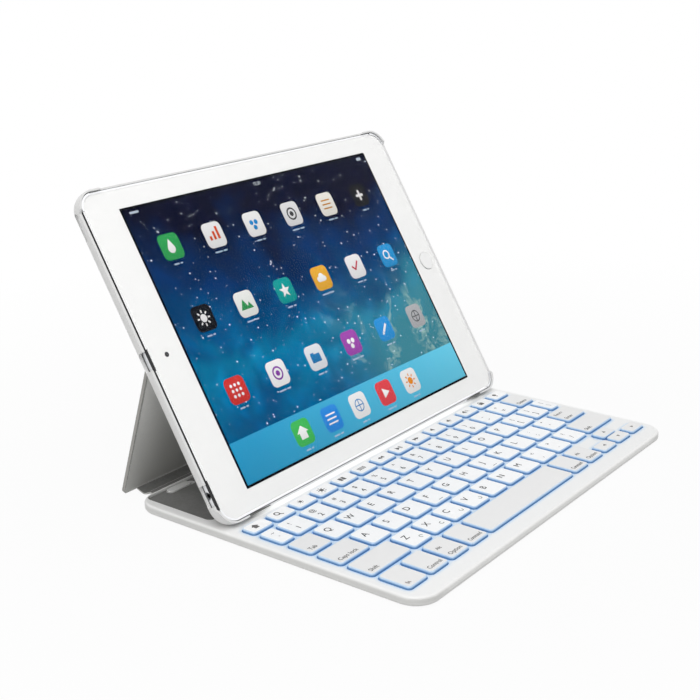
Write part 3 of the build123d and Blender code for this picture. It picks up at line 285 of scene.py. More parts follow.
frame_plastic, tree, shader, place = new_finish("white_abs_satin_painted_light", Roughness=0.36, IOR=1.5)
# Painted light: the guide's blue glow is painted into the deck's colour over the key field and a little past
# it, where ambient occlusion finds a point shut in among the caps.
centred = add(tree, "ShaderNodeVectorMath", {0: place, 1: field_middle}, operation="SUBTRACT")
mirrored = add(tree, "ShaderNodeVectorMath", {0: centred}, operation="ABSOLUTE")
past = add(tree, "ShaderNodeVectorMath", {0: mirrored, 1: (field_half.x, field_half.y, 1.0)},
           operation="SUBTRACT")
outside = add(tree, "ShaderNodeVectorMath", {0: past, 1: (0.0, 0.0, 0.0)}, operation="MAXIMUM")
distance = add(tree, "ShaderNodeVectorMath", {0: outside}, operation="LENGTH")
among = add(tree, "ShaderNodeMapRange", {"Value": distance.outputs["Value"], "From Max": GLOW_EDGE,
                                         "To Min": 1.0, "To Max": 0.0})
beside = add(tree, "ShaderNodeAmbientOcclusion", {"Distance": GLOW_REACH}, samples=8)
painted_wash = add(tree, "ShaderNodeMapRange", {"Value": beside.outputs["AO"], "From Min": 1 - GLOW_SHADE,
                                        "To Min": 1.0, "To Max": 0.0})
near = add(tree, "ShaderNodeMath", {0: among, 1: painted_wash}, operation="MULTIPLY")
split, aside = coordinates(place)
frame_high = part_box("top_frame")[1]
# Painted shade: everything lower than the deck's top is painted grey, greyer towards the left and right ends,
# while the deck's top keeps the white.
fall = add(tree, "ShaderNodeMapRange", {"Value": split.outputs["Z"], "From Min": frame_high.z - WALL_FALL,
                                        "From Max": frame_high.z}, interpolation_type="SMOOTHSTEP")
ends = add(tree, "ShaderNodeMapRange", {"Value": aside, "From Min": frame_high.x - CORNER_START,
                                        "From Max": frame_high.x - CORNER_END},
           interpolation_type="SMOOTHSTEP")
two_tone(shader, ends, WALL_FRONT_PAINTED_SHADE, WALL_END_PAINTED_SHADE)
paint_over(shader, fall, WHITE_ABS)
paint_over(shader, near, DECK_PAINTED_GLOW)
fine = add(tree, "ShaderNodeTexNoise", {"Vector": place, "Scale": 1 / ABS_GRAIN, "Detail": 3.0})
relief(shader, fine, GRAIN_DEPTH)
# Painted light: in a strip behind the keys that stops short of the ends, the deck glows where ambient
# occlusion finds it shut in, which lifts the contact shadow at the shell's foot.
behind, ahead = [add(tree, "ShaderNodeMath", {0: split.outputs["Y"], 1: field_high.y + room}, operation=test)
                 for room, test in ((GLOW_EDGE, "GREATER_THAN"), (FOOT_ROOM, "LESS_THAN"))]
inside = add(tree, "ShaderNodeMapRange", {"Value": aside, "From Min": field_high.x - 2.4 * FOOT_ROOM,
                                          "From Max": field_high.x - FOOT_ROOM, "To Min": 1.0, "To Max": 0.0})
strip = add(tree, "ShaderNodeMath", {0: behind, 1: ahead}, operation="MULTIPLY")
strip = add(tree, "ShaderNodeMath", {0: strip, 1: inside}, operation="MULTIPLY")
scatter = add(tree, "ShaderNodeMapRange", {"Value": beside.outputs["AO"], "From Min": 0.2,
                                           "To Min": FOOT_PAINTED_LIGHT, "To Max": 0.0})
feed(shader, {"Emission Strength": add(tree, "ShaderNodeMath", {0: strip, 1: scatter}, operation="MULTIPLY")})
dress(frame_plastic, "top_frame")

# --------------------------------------------------
# Key caps: thin white polycarbonate, lightly textured on top. The light that climbs their tapered sides
# is painted on: each side is painted blue at its foot and pale along the top edge and glows faintly, and
# the white caps' tops glow faintly too.
CAP_TOP = "#f1f0ef"
CAP_WHITE = "#fdfdfd"
CAP_EDGE = "#c8def3"
CAP_SIDE = "#8ab0d8"
CAP_FOOT = "#5d8bbd"
CAP_SIDE_PAINTED_GLOW = 0.06
CAP_TOP_PAINTED_GLOW = 0.035
CAP_GRAIN = 0.4 * MM
CAP_GRAIN_DEPTH = 0.006 * MM
WHITE_KEYS = ("function_keys", "number_keys", "q_row_keys", "a_row_keys", "z_row_keys", "key_tilde",
              "key_backslash")


def lit_cap(name, top, glow):
    """Translucent polycarbonate over the light guide, the guide's light painted on: blue low on the sides and
    glowing faintly, pale near the top edge, the top's own colour above, which glows faintly on the white
    caps.
    """
    material, tree, shader, place = new_finish(name, Roughness=0.45, IOR=1.58)
    split = add(tree, "ShaderNodeSeparateXYZ", {0: place})
    rise = add(tree, "ShaderNodeMapRange", {"Value": split.outputs["Z"], "From Min": field_low.z,
                                            "From Max": field_high.z})
    side = add(tree, "ShaderNodeValToRGB", {"Fac": rise},
               [(0.0, CAP_FOOT), (0.4, CAP_FOOT), (0.58, CAP_SIDE), (0.8, CAP_EDGE), (0.985, CAP_EDGE),
                (0.998, top)])
    cap_painted_glow = add(tree, "ShaderNodeMapRange", {"Value": rise, "From Min": 0.9, "From Max": 0.99,
                                           "To Min": CAP_SIDE_PAINTED_GLOW, "To Max": glow})
    feed(shader, {"Base Color": side, "Emission Color": side, "Emission Strength": cap_painted_glow})
    fine = add(tree, "ShaderNodeTexNoise", {"Vector": place, "Scale": 1 / CAP_GRAIN, "Detail": 3.0})
    relief(shader, fine, CAP_GRAIN_DEPTH)
    return material


dress(lit_cap("polycarbonate_cap_lit_grey", CAP_TOP, 0.0),
      *[node for node in key_nodes if node not in WHITE_KEYS])
dress(lit_cap("polycarbonate_cap_lit_white", CAP_WHITE, CAP_TOP_PAINTED_GLOW), *WHITE_KEYS)

# --------------------------------------------------
# Legends: pad-printed ink, dark warm grey, on the tops of the caps. Letters stand rear left, figures
# under their signs, words near the front edge, small drawn signs on the top row.
INK = "#403e3d"
PALE_INK = "#9aa09c"
ROSE_INK = "#dfc2ba"
INK_LIFT = 0.02 * MM
KEY_GAP = 2.3 * MM
CAP_SHARE = 0.72
LETTER = 3.7 * MM
FIGURE = 3.4 * MM
SIGN = 2.8 * MM
WORD = 2.4 * MM
STROKE = 0.03 * MM
WORD_MARGIN = 2.3 * MM
INK_WEAR = 0.8 * MM


def around(x, y, radius, angle):
    """A point on a circle."""
    return x + radius * math.cos(angle), y + radius * math.sin(angle)


def disc(x, y, radius, sides=20):
    """A filled circle, as a list of outlines."""
    return [[around(x, y, radius, i * math.tau / sides) for i in range(sides)]]


def bar(x, y, width, height, turn=0.0, corner=0.0):
    """A rectangle about its middle, with round corners if asked, turned in degrees."""
    corner = min(corner, width / 2, height / 2)
    points = []
    for quarter, (sx, sy) in enumerate(((1, 1), (-1, 1), (-1, -1), (1, -1))):
        steps = 5 if corner else 1
        for step in range(steps):
            angle = math.radians(90 * quarter + (90 * step / (steps - 1) if corner else 0))
            points.append((sx * (width / 2 - corner) + corner * math.cos(angle),
                           sy * (height / 2 - corner) + corner * math.sin(angle)))
    c, s = math.cos(math.radians(turn)), math.sin(math.radians(turn))
    return [[(x + px * c - py * s, y + px * s + py * c) for px, py in points]]


def ring(x, y, outer, inner, start=0.0, end=360.0, sides=24):
    """A ring or an arc of one, as a run of four-sided outlines."""
    angles = [math.radians(start + (end - start) * i / sides) for i in range(sides + 1)]
    return [[around(x, y, outer, a), around(x, y, outer, b), around(x, y, inner, b), around(x, y, inner, a)]
            for a, b in zip(angles, angles[1:])]


def wedge(*points):
    """A filled convex outline."""
    return [list(points)]


def drawn(outlines, x, y, size):
    """Outlines laid out about the origin in units of size, at their place."""
    return [[(x + px * size, y + py * size) for px, py in outline] for outline in outlines]


def put(name, data):
    """A new object of the data, in the scene."""
    made = bpy.data.objects.new(name, data)
    bpy.context.scene.collection.objects.link(made)
    return made


def plain_mesh(piece):
    """A new mesh of what an object's curve or modifiers make."""
    return bpy.data.meshes.new_from_object(piece.evaluated_get(bpy.context.evaluated_depsgraph_get()))


def lettering(text, x, y, height, anchor="middle", room=None):
    """Printed characters by their middle or left end, condensed to fit the room. Struck thrice, for fuller
    strokes."""
    curve = bpy.data.curves.new("lettering", "FONT")
    curve.body = text
    curve.size = height / CAP_SHARE
    curve.resolution_u = 3
    maker = put("lettering", curve)
    mesh = plain_mesh(maker)
    outlines = [[mesh.vertices[i].co.xy for i in face.vertices] for face in mesh.polygons]
    bpy.data.objects.remove(maker)
    bpy.data.curves.remove(curve)
    bpy.data.meshes.remove(mesh)
    xs = [p[0] for outline in outlines for p in outline]
    left = (min(xs) + max(xs)) / 2 if anchor == "middle" else min(xs)
    squeeze = min(1.0, room / (max(xs) - min(xs))) if room else 1.0
    strikes = [around(0, 0, STROKE, a) for a in (0.5, 2.6, 4.7)]
    return [[((p[0] - left) * squeeze + x + dx, p[1] - height / 2 + y + dy) for p in outline]
            for dx, dy in strikes for outline in outlines]


def printed(name, layers, place, material, shading=0.0):
    """One flat mesh from layers of (outlines, colour, level). Place turns (x, y, level) into the frame."""
    bm = bmesh.new()
    tint = bm.loops.layers.float_color.new("ink")
    for outlines, colour, level in layers:
        ys = [p[1] for outline in outlines for p in outline]
        middle, half = (min(ys) + max(ys)) / 2, max(max(ys) - min(ys), 1e-6) / 2
        for outline in outlines:
            face = bm.faces.new([bm.verts.new(place(px, py, level)) for px, py in outline])
            for loop, (px, py) in zip(face.loops, outline):
                light = 1 + shading * (py - middle) / half
                loop[tint] = tuple(c * light for c in paint(colour)[:3]) + (1.0,)
    mesh = bpy.data.meshes.new(name)
    bm.to_mesh(mesh)
    bm.free()
    mesh.materials.append(material)
    return put(name, mesh)


def key_places(node, count):
    """(left, right, front, rear) of each cap in a node of equal caps."""
    low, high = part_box(node)
    pitch = (high.x - low.x + KEY_GAP) / count
    return [(low.x + i * pitch, low.x + (i + 1) * pitch - KEY_GAP, low.y, high.y) for i in range(count)]


ink_finish, tree, shader, place = new_finish("ink_pad_printed", Roughness=0.6, IOR=1.5)
tint = add(tree, "ShaderNodeVertexColor", layer_name="ink")
wear = add(tree, "ShaderNodeTexNoise", {"Vector": place, "Scale": 1 / INK_WEAR, "Detail": 2.0})
amount = add(tree, "ShaderNodeMapRange", {"Value": wear, "To Min": 0.0, "To Max": 0.16})
two_tone(shader, amount, tint.outputs["Color"], CAP_TOP)

LETTER_X, LETTER_Y = 4.9 * MM, 5.7 * MM
PAIR_X, SIGN_Y, FIGURE_Y = 5.4 * MM, 4.3 * MM, 9.9 * MM
WORD_Y, SECOND_WORD_Y = 3.4 * MM, 10.4 * MM
ARROW = 1.3 * MM
TOP_SIGN, TOP_SIGN_X, TOP_SIGN_UP = 2.3 * MM, 5.6 * MM, 0.3 * MM
TURN_X, TURN_Y, TURN_OUTER, TURN_INNER = 3.9 * MM, 4.0 * MM, 1.3 * MM, 0.75 * MM
DASH_UP, DASH_LONG, DASH_TALL = 2.0 * MM, 3.6 * MM, 0.5 * MM
letter_rows = {"q_row_keys": "Q W E R T Y U I O P {[ }]", "a_row_keys": "A S D F G H J K L :; \"'",
               "z_row_keys": "Z X C V B N M <, >. ?/", "number_keys": "!1 @2 #3 $4 %5 ^6 &7 *8 (9 )0 _- +=",
               "key_tilde": "~`", "key_backslash": "|\\"}
words = {"key_delete": ["Delete"], "key_tab": ["Tab"], "key_caps": ["Caps lock"],
         "key_enter": ["Enter", "Return"], "key_shift_left": ["Shift"], "key_shift_right": ["Shift"],
         "key_control": ["Control"], "key_option": ["Option", "Alt"], "key_command": ["Command"],
         "key_command_right": ["Command"], "key_option_right": ["Option", "Alt"], "key_fn": ["fn"]}
arrows = {"key_arrow_left": 180, "key_arrow_right": 0, "key_arrow_up": 90, "key_arrow_down": -90}


def arrow_head(x, y, size, turn):
    """A filled triangle that points along the turn, in degrees."""
    return wedge(*[around(x, y, size, math.radians(turn + step)) for step in (0, 125, -125)])


def horn(waves):
    """A loudspeaker with sound waves."""
    shape = bar(-0.75, 0, 0.4, 0.6) + wedge((-0.6, -0.3), (0, -0.8), (0, 0.8), (-0.6, 0.3))
    for i in range(waves):
        shape += ring(0.05, 0, 0.5 + 0.35 * i, 0.4 + 0.35 * i, -40, 40, 8)
    return shape


sun = disc(0, 0, 0.5, 14)
for i in range(8):
    sun += bar(*around(0, 0, 0.82, math.tau * i / 8), 0.35, 0.2, 45 * i)
top_signs = [
    wedge((-1, 0), (1, 0), (0, 0.9)) + bar(0, -0.4, 1.2, 0.8),
    ring(-0.2, 0.2, 0.75, 0.45) + bar(0.6, -0.6, 0.8, 0.32, -45),
    drawn(sun, 0, 0, 0.8),
    drawn(sun, 0, 0, 1.1),
    bar(-0.5, 0, 0.8, 1.4) + bar(0.5, 0, 0.8, 1.4),
    sum([bar(0.5 * i - 1, 0.4 * j - 0.4, 0.38, 0.3) for i in range(5) for j in range(3)], []),
    arrow_head(-0.2, 0, 0.7, 180) + arrow_head(0.7, 0, 0.7, 180),
    arrow_head(-0.4, 0, 0.8, 0) + bar(0.5, 0, 0.2, 1.3) + bar(0.85, 0, 0.2, 1.3),
    arrow_head(-0.7, 0, 0.7, 0) + arrow_head(0.2, 0, 0.7, 0),
    horn(0),
    horn(1),
    horn(3),
    bar(0, -0.35, 1.5, 1.1) + ring(0, 0.2, 0.6, 0.4, 0, 180, 12),
    disc(0, 0.2, 0.6) + bar(0, -0.7, 0.5, 0.3),
]

legends = {name: [] for name in key_nodes}
for node, row in letter_rows.items():
    marks = row.split()
    for mark, (left, right, front, rear) in zip(marks, key_places(node, len(marks))):
        if len(mark) == 1:
            legends[node].append((lettering(mark, left + LETTER_X, rear - LETTER_Y, LETTER), INK))
        else:
            pair_x = left + min(PAIR_X, (right - left) / 2)
            legends[node].append((lettering(mark[0], pair_x, rear - SIGN_Y, SIGN), INK))
            legends[node].append((lettering(mark[1], pair_x, rear - FIGURE_Y, FIGURE), INK))
for node, words_on_key in words.items():
    left, right, front, rear = key_places(node, 1)[0]
    for i, word in enumerate(words_on_key):
        tall = WORD if i == 0 else WORD * 0.85
        up = front + (WORD_Y if i == 0 else SECOND_WORD_Y)
        outlines = lettering(word, left + WORD_MARGIN, up, tall, "left", right - left - 2 * WORD_MARGIN)
        legends[node].append((outlines, ROSE_INK if node == "key_fn" else INK))
for node, turn in arrows.items():
    left, right, front, rear = key_places(node, 1)[0]
    legends[node].append((arrow_head((left + right) / 2, (front + rear) / 2, ARROW, turn), INK))
for sign, (left, right, front, rear) in zip(top_signs, key_places("function_keys", len(top_signs))):
    legends["function_keys"].append(
        (drawn(sign, left + TOP_SIGN_X, (front + rear) / 2 + TOP_SIGN_UP, TOP_SIGN), INK))
for i, (left, right, front, rear) in enumerate(key_places("z_row_keys", 10)[:4]):
    turn = ring(right - TURN_X, front + TURN_Y, TURN_OUTER, TURN_INNER, 60 * i, 60 * i + 270)
    legends["z_row_keys"].append((turn, PALE_INK))
for i in (3, 6):
    left, right, front, rear = key_places("a_row_keys", 11)[i]
    dash = bar((left + right) / 2, front + DASH_UP, DASH_LONG, DASH_TALL, 0, DASH_TALL / 2)
    legends["a_row_keys"].append((dash, PALE_INK))

for node, shapes in legends.items():
    if shapes:
        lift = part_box(node)[1].z + INK_LIFT
        piece = printed("legend_" + node, [(outlines, colour, lift) for outlines, colour in shapes],
                        lambda px, py, level: Vector((px, py, level)), ink_finish)
        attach(piece, node)

# --------------------------------------------------
# Recess behind the keys: its floor is lined with grey microfibre suede, glued down, cut out round the
# power switch. This suede, also inside the spine and crease strips, is painted darker than the same suede
# on the flap, as painted shade. The switch is a sliding cap of white ABS in a slot.
INNER_SUEDE_PAINTED_SHADE = "#787876"
SUEDE_NAP = "#686866"
NAP = 1.4 * MM
NAP_DEPTH = 0.08 * MM
BRUSHED_PATCH = 12 * MM


def suede(name, colour, brushed):
    """Microfibre suede: matt, a short nap brushed in patches, fine fibres, a soft sheen at low angles."""
    material, tree, shader, place = new_finish(name, Roughness=0.95, IOR=1.4, Sheen_Weight=0.35,
                                               Sheen_Roughness=0.5, Specular_IOR_Level=0.2)
    patches = add(tree, "ShaderNodeTexNoise", {"Vector": place, "Scale": 1 / BRUSHED_PATCH, "Detail": 4.0})
    fibres = add(tree, "ShaderNodeTexNoise", {"Vector": place, "Scale": 1 / NAP, "Detail": 6.0,
                                              "Roughness": 0.7})
    both = add(tree, "ShaderNodeMath", {0: patches, 1: fibres}, operation="MULTIPLY")
    spread = add(tree, "ShaderNodeMapRange", {"Value": both, "From Min": 0.12, "From Max": 0.4})
    two_tone(shader, spread, brushed, colour)
    relief(shader, fibres, NAP_DEPTH, 0.6)
    return material


# Painted shade: this lining is a darker copy of the flap's suede.
inner_suede = suede("microfibre_suede_brushed", INNER_SUEDE_PAINTED_SHADE, SUEDE_NAP)
dress(inner_suede, "recess_lining")
dress(moulded("grey_abs_switch_moulded", "#ececea", "#e0e0de", 0.4), "power_switch")

# --------------------------------------------------
# Spine: a strip of the cover with no board in it, leatherette outside and suede inside, glued under
# the recess and into the foot of the flap. It sags between its two folds and bends at both.
STRIP = 0.8 * MM
STRIP_EDGE = 0.18 * MM
SAG_SHARE = 0.56
CREST_BACK, CREST_UP = 2.0 * MM, 0.35 * MM
START_AHEAD = 0.45 * MM
END_AHEAD, END_DOWN = 0.1 * MM, 0.15 * MM
SAG_STEPS = 12


def smooth_line(points, steps):
    """A smooth line through the points (Catmull-Rom)."""
    ends = [points[0] * 2 - points[1], *points, points[-1] * 2 - points[-2]]
    line = []
    for a, b, c, d in zip(ends, ends[1:], ends[2:], ends[3:]):
        for step in range(steps):
            t = step / steps
            line.append(0.5 * (2 * b + (c - a) * t + (2 * a - 5 * b + 4 * c - d) * t ** 2
                               + (3 * b - a - 3 * c + d) * t ** 3))
    line.append(points[-1])
    return line


def folded_strip(name, line, half_width):
    """A strip of cover along a line in the side view: suede on the side to the left of the line's run."""
    bm = bmesh.new()
    rows = []
    for i, point in enumerate(line):
        run = (line[min(i + 1, len(line) - 1)] - line[max(i - 1, 0)]).normalized()
        through = Vector((0, -run.z, run.y)) * STRIP / 2
        rows.append([bm.verts.new((x, *(point + side * through).yz)) for side in (1, -1)
                     for x in (-half_width, half_width)])
    for first, second in zip(rows, rows[1:]):
        for a, b, finish in ((0, 1, 0), (1, 3, 1), (3, 2, 1), (2, 0, 1)):
            face = bm.faces.new((first[a], first[b], second[b], second[a]))
            face.material_index = finish
    for row in (rows[0], rows[-1]):
        bm.faces.new((row[0], row[1], row[3], row[2])).material_index = 1
    bmesh.ops.recalc_face_normals(bm, faces=bm.faces)
    rims = [edge for edge in bm.edges if edge.calc_face_angle(0) > math.radians(60)]
    bmesh.ops.bevel(bm, geom=rims, offset=STRIP_EDGE, segments=2, affect="EDGES", material=1)
    for face in bm.faces:
        face.smooth = True
    mesh = bpy.data.meshes.new(name)
    bm.to_mesh(mesh)
    bm.free()
    mesh.materials.append(inner_suede)
    mesh.materials.append(outer_leatherette)
    return put(name, mesh)


joints = {joint["name"]: joint for joint in frame["joints"]}
base_fold = Vector(joints["cover_fold"]["pos_m"])
flap_fold = Vector(joints["lay_back"]["pos_m"])
spine_low, spine_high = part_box("spine_strip")
low_point = Vector((0, spine_low.y + (spine_high.y - spine_low.y) * SAG_SHARE, spine_low.z + STRIP / 2))
crest = Vector((0, base_fold.y + CREST_BACK, base_fold.z + CREST_UP))
spine_end = Vector((0, spine_high.y - END_AHEAD, flap_fold.z - END_DOWN))
spine_start = Vector((0, base_fold.y - START_AHEAD, base_fold.z))
sag = smooth_line([spine_start, crest, low_point, spine_end], SAG_STEPS)
half = len(sag) // 2
spine_front = folded_strip("spine_front", sag[:half + 1], spine_high.x)
spine_rear = folded_strip("spine_rear", sag[half:], spine_high.x)
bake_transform(spine_front)
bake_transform(spine_rear)
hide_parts("spine_strip")

# --------------------------------------------------
# Flap: a grey stiffener board wrapped in leatherette, its hems turned in all round and pressed flat,
# with suede laid over them inside. The suede is painted near white as painted light, and painted darker
# low down and towards the middle as painted shade; the skin's side edges are painted darker as painted shade.
FLAP_SUEDE_PAINTED_LIGHT = "#fbfbf8"
FLAP_SUEDE_NAP = "#f0f0ed"
FLAP_PAINTED_SHADE = "#bcbcb8"
FLAP_FADE = 62 * MM
END_FADE = 46 * MM
FLAP_EDGE_PAINTED_SHADE = "#a09f9b"
EDGE_DEPTH = 0.5 * MM
PULP = 1.0 * MM
PULP_DEPTH = 0.05 * MM

flap_suede = suede("microfibre_suede_painted_light_and_shade", FLAP_SUEDE_PAINTED_LIGHT, FLAP_SUEDE_NAP)
tree, shader, place = opened(flap_suede)
lining_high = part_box("flap_lining")[1]
split, aside = coordinates(place)
# Painted shade: the lining darkens low down and towards the middle, and stays light near its top and its
# ends.
sunk = add(tree, "ShaderNodeMapRange", {"Value": split.outputs["Z"], "From Min": lining_high.z,
                                        "From Max": lining_high.z - FLAP_FADE})
inset = add(tree, "ShaderNodeMapRange", {"Value": aside, "From Min": lining_high.x,
                                         "From Max": lining_high.x - END_FADE})
both = add(tree, "ShaderNodeMath", {0: sunk, 1: inset}, operation="ADD")
flap_shade_mask = add(tree, "ShaderNodeMapRange", {"Value": both, "From Max": 1.5}, interpolation_type="SMOOTHSTEP")
paint_over(shader, flap_shade_mask, FLAP_PAINTED_SHADE)
dress(flap_suede, "flap_lining")
flap_leatherette = leatherette("leatherette_embossed_painted_edge_shade", LEATHERETTE, LEATHERETTE_DEEP)
tree, shader, place = opened(flap_leatherette)
aside = coordinates(place)[1]
# Painted shade: the skin's left and right edges are painted darker.
end = add(tree, "ShaderNodeMath", {0: aside, 1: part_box("flap_skin")[1].x - EDGE_DEPTH},
          operation="GREATER_THAN")
paint_over(shader, end, FLAP_EDGE_PAINTED_SHADE)
dress(flap_leatherette, "flap_skin")
flap_board, tree, shader, place = new_finish("greyboard_pressed", Roughness=0.9, IOR=1.4)
pulp = add(tree, "ShaderNodeTexNoise", {"Vector": place, "Scale": 1 / PULP, "Detail": 8.0, "Roughness": 0.8})
two_tone(shader, pulp, "#7f7b74", "#a39e95")
relief(shader, pulp, PULP_DEPTH)
dress(flap_board, "flap_board")

# --------------------------------------------------
# Crease: the same sheet runs on over the top of the flap and turns up the back of the shell, with no
# board in it, so that it folds on two lines.
CREASE_LAP = 0.35 * MM
CREASE_RISE = 1.6 * MM
CREASE_STEPS = 6

lower_fold = Vector(joints["lower_crease"]["pos_m"])
upper_fold = Vector(joints["shell_fold"]["pos_m"])
crease_up = (upper_fold - lower_fold).normalized()
face_normal = Vector(joints["tablet_lift"]["axis"]).normalized()
crease_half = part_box("crease_strip")[1].x
flap_run = Vector((0, lower_fold.y - flap_fold.y, lower_fold.z - flap_fold.z)).normalized()
inward = face_normal * (STRIP / 2)
flap_in = Vector((0, -flap_run.z, flap_run.y)) * (STRIP / 2)
crease_line = [lower_fold - flap_run * CREASE_LAP + flap_in, lower_fold + (inward + flap_in) * 0.5,
               lower_fold + crease_up * CREASE_RISE + inward, lower_fold.lerp(upper_fold, 0.5) + inward,
               upper_fold + crease_up * CREASE_LAP + inward]
crease_path = smooth_line(crease_line, CREASE_STEPS)
middle = 3 * CREASE_STEPS
crease_lower = folded_strip("crease_lower", crease_path[:middle + 1], crease_half)
crease_upper = folded_strip("crease_upper", crease_path[middle:], crease_half)
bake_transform(crease_lower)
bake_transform(crease_upper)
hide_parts("crease_strip")

# --------------------------------------------------
# Shell: the tray that grips the tablet, thin white polycarbonate with raised corners, satin. Between its
# corner grips the lower edge of its lip is painted dark, as painted shadow of the gap under it, tallest
# beside the grips. Steel keepers sit in its foot, and the sheet's upper part is glued to its back.
SHELL_WHITE = "#e6e6e5"
SHELL_SHADE = "#dddddc"
FOOT_PAINTED_SHADOW = "#4b4b48"
GRIP_END = 103.4 * MM
FOOT_SHADOW_RUN = 20 * MM
FOOT_SHADOW_MOST = 1.3 * MM
FOOT_SHADOW_LEAST = 0.35 * MM
FOOT_SHADOW_DEEPEST = 4.5 * MM
FOOT_SHADOW_SHALLOW = 0.7 * MM

shell_plastic = moulded("polycarbonate_satin_moulded", SHELL_WHITE, SHELL_SHADE, 0.34, coat=0.15)
tree, shader, place = opened(shell_plastic)
across = Vector((1, 0, 0))
upward = face_normal.cross(across)
shell_points = [v.co for v in frame["nodes"]["shell"].data.vertices]
foot = min(co.dot(upward) for co in shell_points)
shell_front = max(co.dot(face_normal) for co in shell_points)
aside = coordinates(place)[1]
climb = add(tree, "ShaderNodeVectorMath", {0: place, 1: upward}, operation="DOT_PRODUCT")
forward = add(tree, "ShaderNodeVectorMath", {0: place, 1: face_normal}, operation="DOT_PRODUCT")
shadow_height, deep = [add(tree, "ShaderNodeMapRange", {"Value": aside, "From Min": GRIP_END - FOOT_SHADOW_RUN,
                                                   "From Max": GRIP_END, "To Min": least, "To Max": most})
                  for least, most in ((FOOT_SHADOW_LEAST, FOOT_SHADOW_MOST),
                                      (shell_front - FOOT_SHADOW_SHALLOW, shell_front - FOOT_SHADOW_DEEPEST))]
# Painted shadow: a dark band along the foot of the lip's front, taller towards the corner grips.
height = add(tree, "ShaderNodeMath", {0: climb.outputs["Value"], 1: foot}, operation="SUBTRACT")
below = add(tree, "ShaderNodeMath", {0: height, 1: shadow_height}, operation="LESS_THAN")
between = add(tree, "ShaderNodeMath", {0: aside, 1: GRIP_END}, operation="LESS_THAN")
ahead = add(tree, "ShaderNodeMath", {0: forward.outputs["Value"], 1: deep}, operation="GREATER_THAN")
painted_shadow = add(tree, "ShaderNodeMath", {0: below, 1: between}, operation="MULTIPLY")
painted_shadow = add(tree, "ShaderNodeMath", {0: painted_shadow, 1: ahead}, operation="MULTIPLY")
paint_over(shader, painted_shadow, FOOT_PAINTED_SHADOW)
dress(shell_plastic, "shell")
dress(outer_leatherette, "shell_back_skin")
dress(plated("steel_rolled_keeper", "#a8abaf", "#84878c", 0.4, 2 * MM), "keeper_strips")

# --------------------------------------------------
# Tablet body: an aluminium housing and buttons, bead-blasted and anodised silver. A rubber gasket runs
# round the glass, pale, glowing faintly as painted light; it is painted black as the shadow of the open gap
# in a line along its ends and wider at the notches and the end with the socket, where it stands open.
# Inside are pouch cells, a board, cameras behind black lenses and a steel socket.
BLAST = 0.25 * MM
BLAST_DEPTH = 0.004 * MM
GASKET_PAINTED_SHADOW = "#161617"
GASKET_PALE = "#e9e9e9"
GASKET_LINE = 0.42 * MM
GASKET_PAINTED_LIGHT = 0.26
GASKET_SIDE = 4 * MM
NOTCH_HALF = 5.5 * MM
JACK_ROOM = 7.0 * MM
RIM_START, RIM_END = 0.86, 0.9

housing_metal, tree, shader, place = new_finish("aluminium_bead_blasted_anodised", Metallic=1.0,
                                                Roughness=0.38)
beads = add(tree, "ShaderNodeTexNoise", {"Vector": place, "Scale": 1 / BLAST, "Detail": 2.0})
two_tone(shader, beads, "#e2e3e5", "#d6d7d9")
relief(shader, beads, BLAST_DEPTH)
dress(housing_metal, "tablet_housing", "sleep_button", "volume_rocker")
gasket_rubber, tree, shader, place = new_finish("rubber_gasket_moulded", Roughness=0.7, IOR=1.5)
split = add(tree, "ShaderNodeSeparateXYZ", {0: place})
aside = add(tree, "ShaderNodeMath", {0: split, 1: -1.0}, operation="MULTIPLY")
gasket_low, gasket_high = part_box("tablet_gasket")
tablet_middle = (gasket_low + gasket_high) / 2
jack_low, jack_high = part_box("headphone_socket")
jack_up = ((jack_low + jack_high) / 2 - tablet_middle).dot(upward)
from_middle = add(tree, "ShaderNodeVectorMath", {0: place, 1: tablet_middle}, operation="SUBTRACT")
climb = add(tree, "ShaderNodeVectorMath", {0: from_middle, 1: upward}, operation="DOT_PRODUCT")
line, side = [add(tree, "ShaderNodeMath", {0: aside, 1: gasket_high.x - inset}, operation="GREATER_THAN")
              for inset in (GASKET_LINE, GASKET_SIDE)]
notch = add(tree, "ShaderNodeMath", {0: climb.outputs["Value"], 1: 0.0, 2: NOTCH_HALF}, operation="COMPARE")
low_end = add(tree, "ShaderNodeMath", {0: climb.outputs["Value"], 1: jack_up + JACK_ROOM},
              operation="LESS_THAN")
bare = add(tree, "ShaderNodeMath", {0: notch, 1: low_end}, operation="MAXIMUM")
bare = add(tree, "ShaderNodeMath", {0: bare, 1: side}, operation="MULTIPLY")
# Painted shadow: black where the gap stands open; the whole gasket also glows faintly as painted light.
painted_gap_shadow = add(tree, "ShaderNodeMath", {0: bare, 1: line}, operation="MAXIMUM")
toned = two_tone(shader, painted_gap_shadow, GASKET_PALE, GASKET_PAINTED_SHADOW)
feed(shader, {"Emission Color": toned, "Emission Strength": GASKET_PAINTED_LIGHT})
dress(gasket_rubber, "tablet_gasket")
dress(plated("lithium_pouch_laminate", "#b8babd", "#9fa1a5", 0.35, 10 * MM), "tablet_cells")
dress(plated("steel_socket_contacts", "#8e9093", "#77797c", 0.35, 0.8 * MM), "headphone_socket")
dress(moulded("black_lens_glass", "#0b0c10", "#121420", 0.06, coat=0.6), "front_camera", "rear_camera")

home_finish, tree, shader, place = new_finish("glass_button_printed_white", Roughness=0.22, IOR=1.5)
home_low, home_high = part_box("home_button")
from_middle = add(tree, "ShaderNodeVectorMath", {0: place, 1: (home_low + home_high) / 2},
                  operation="DISTANCE")
home_radius = (home_high.x - home_low.x) / 2
# Painted shade: the button's rim is painted a shade darker than its middle, for the faint ring of shade round
# it.
rim_shade = add(tree, "ShaderNodeMapRange", {
    "Value": from_middle.outputs["Value"], "From Min": home_radius * RIM_START,
    "From Max": home_radius * RIM_END})
two_tone(shader, rim_shade, "#f8f8f7", "#f4f4f3")
dress(home_finish, "home_button")

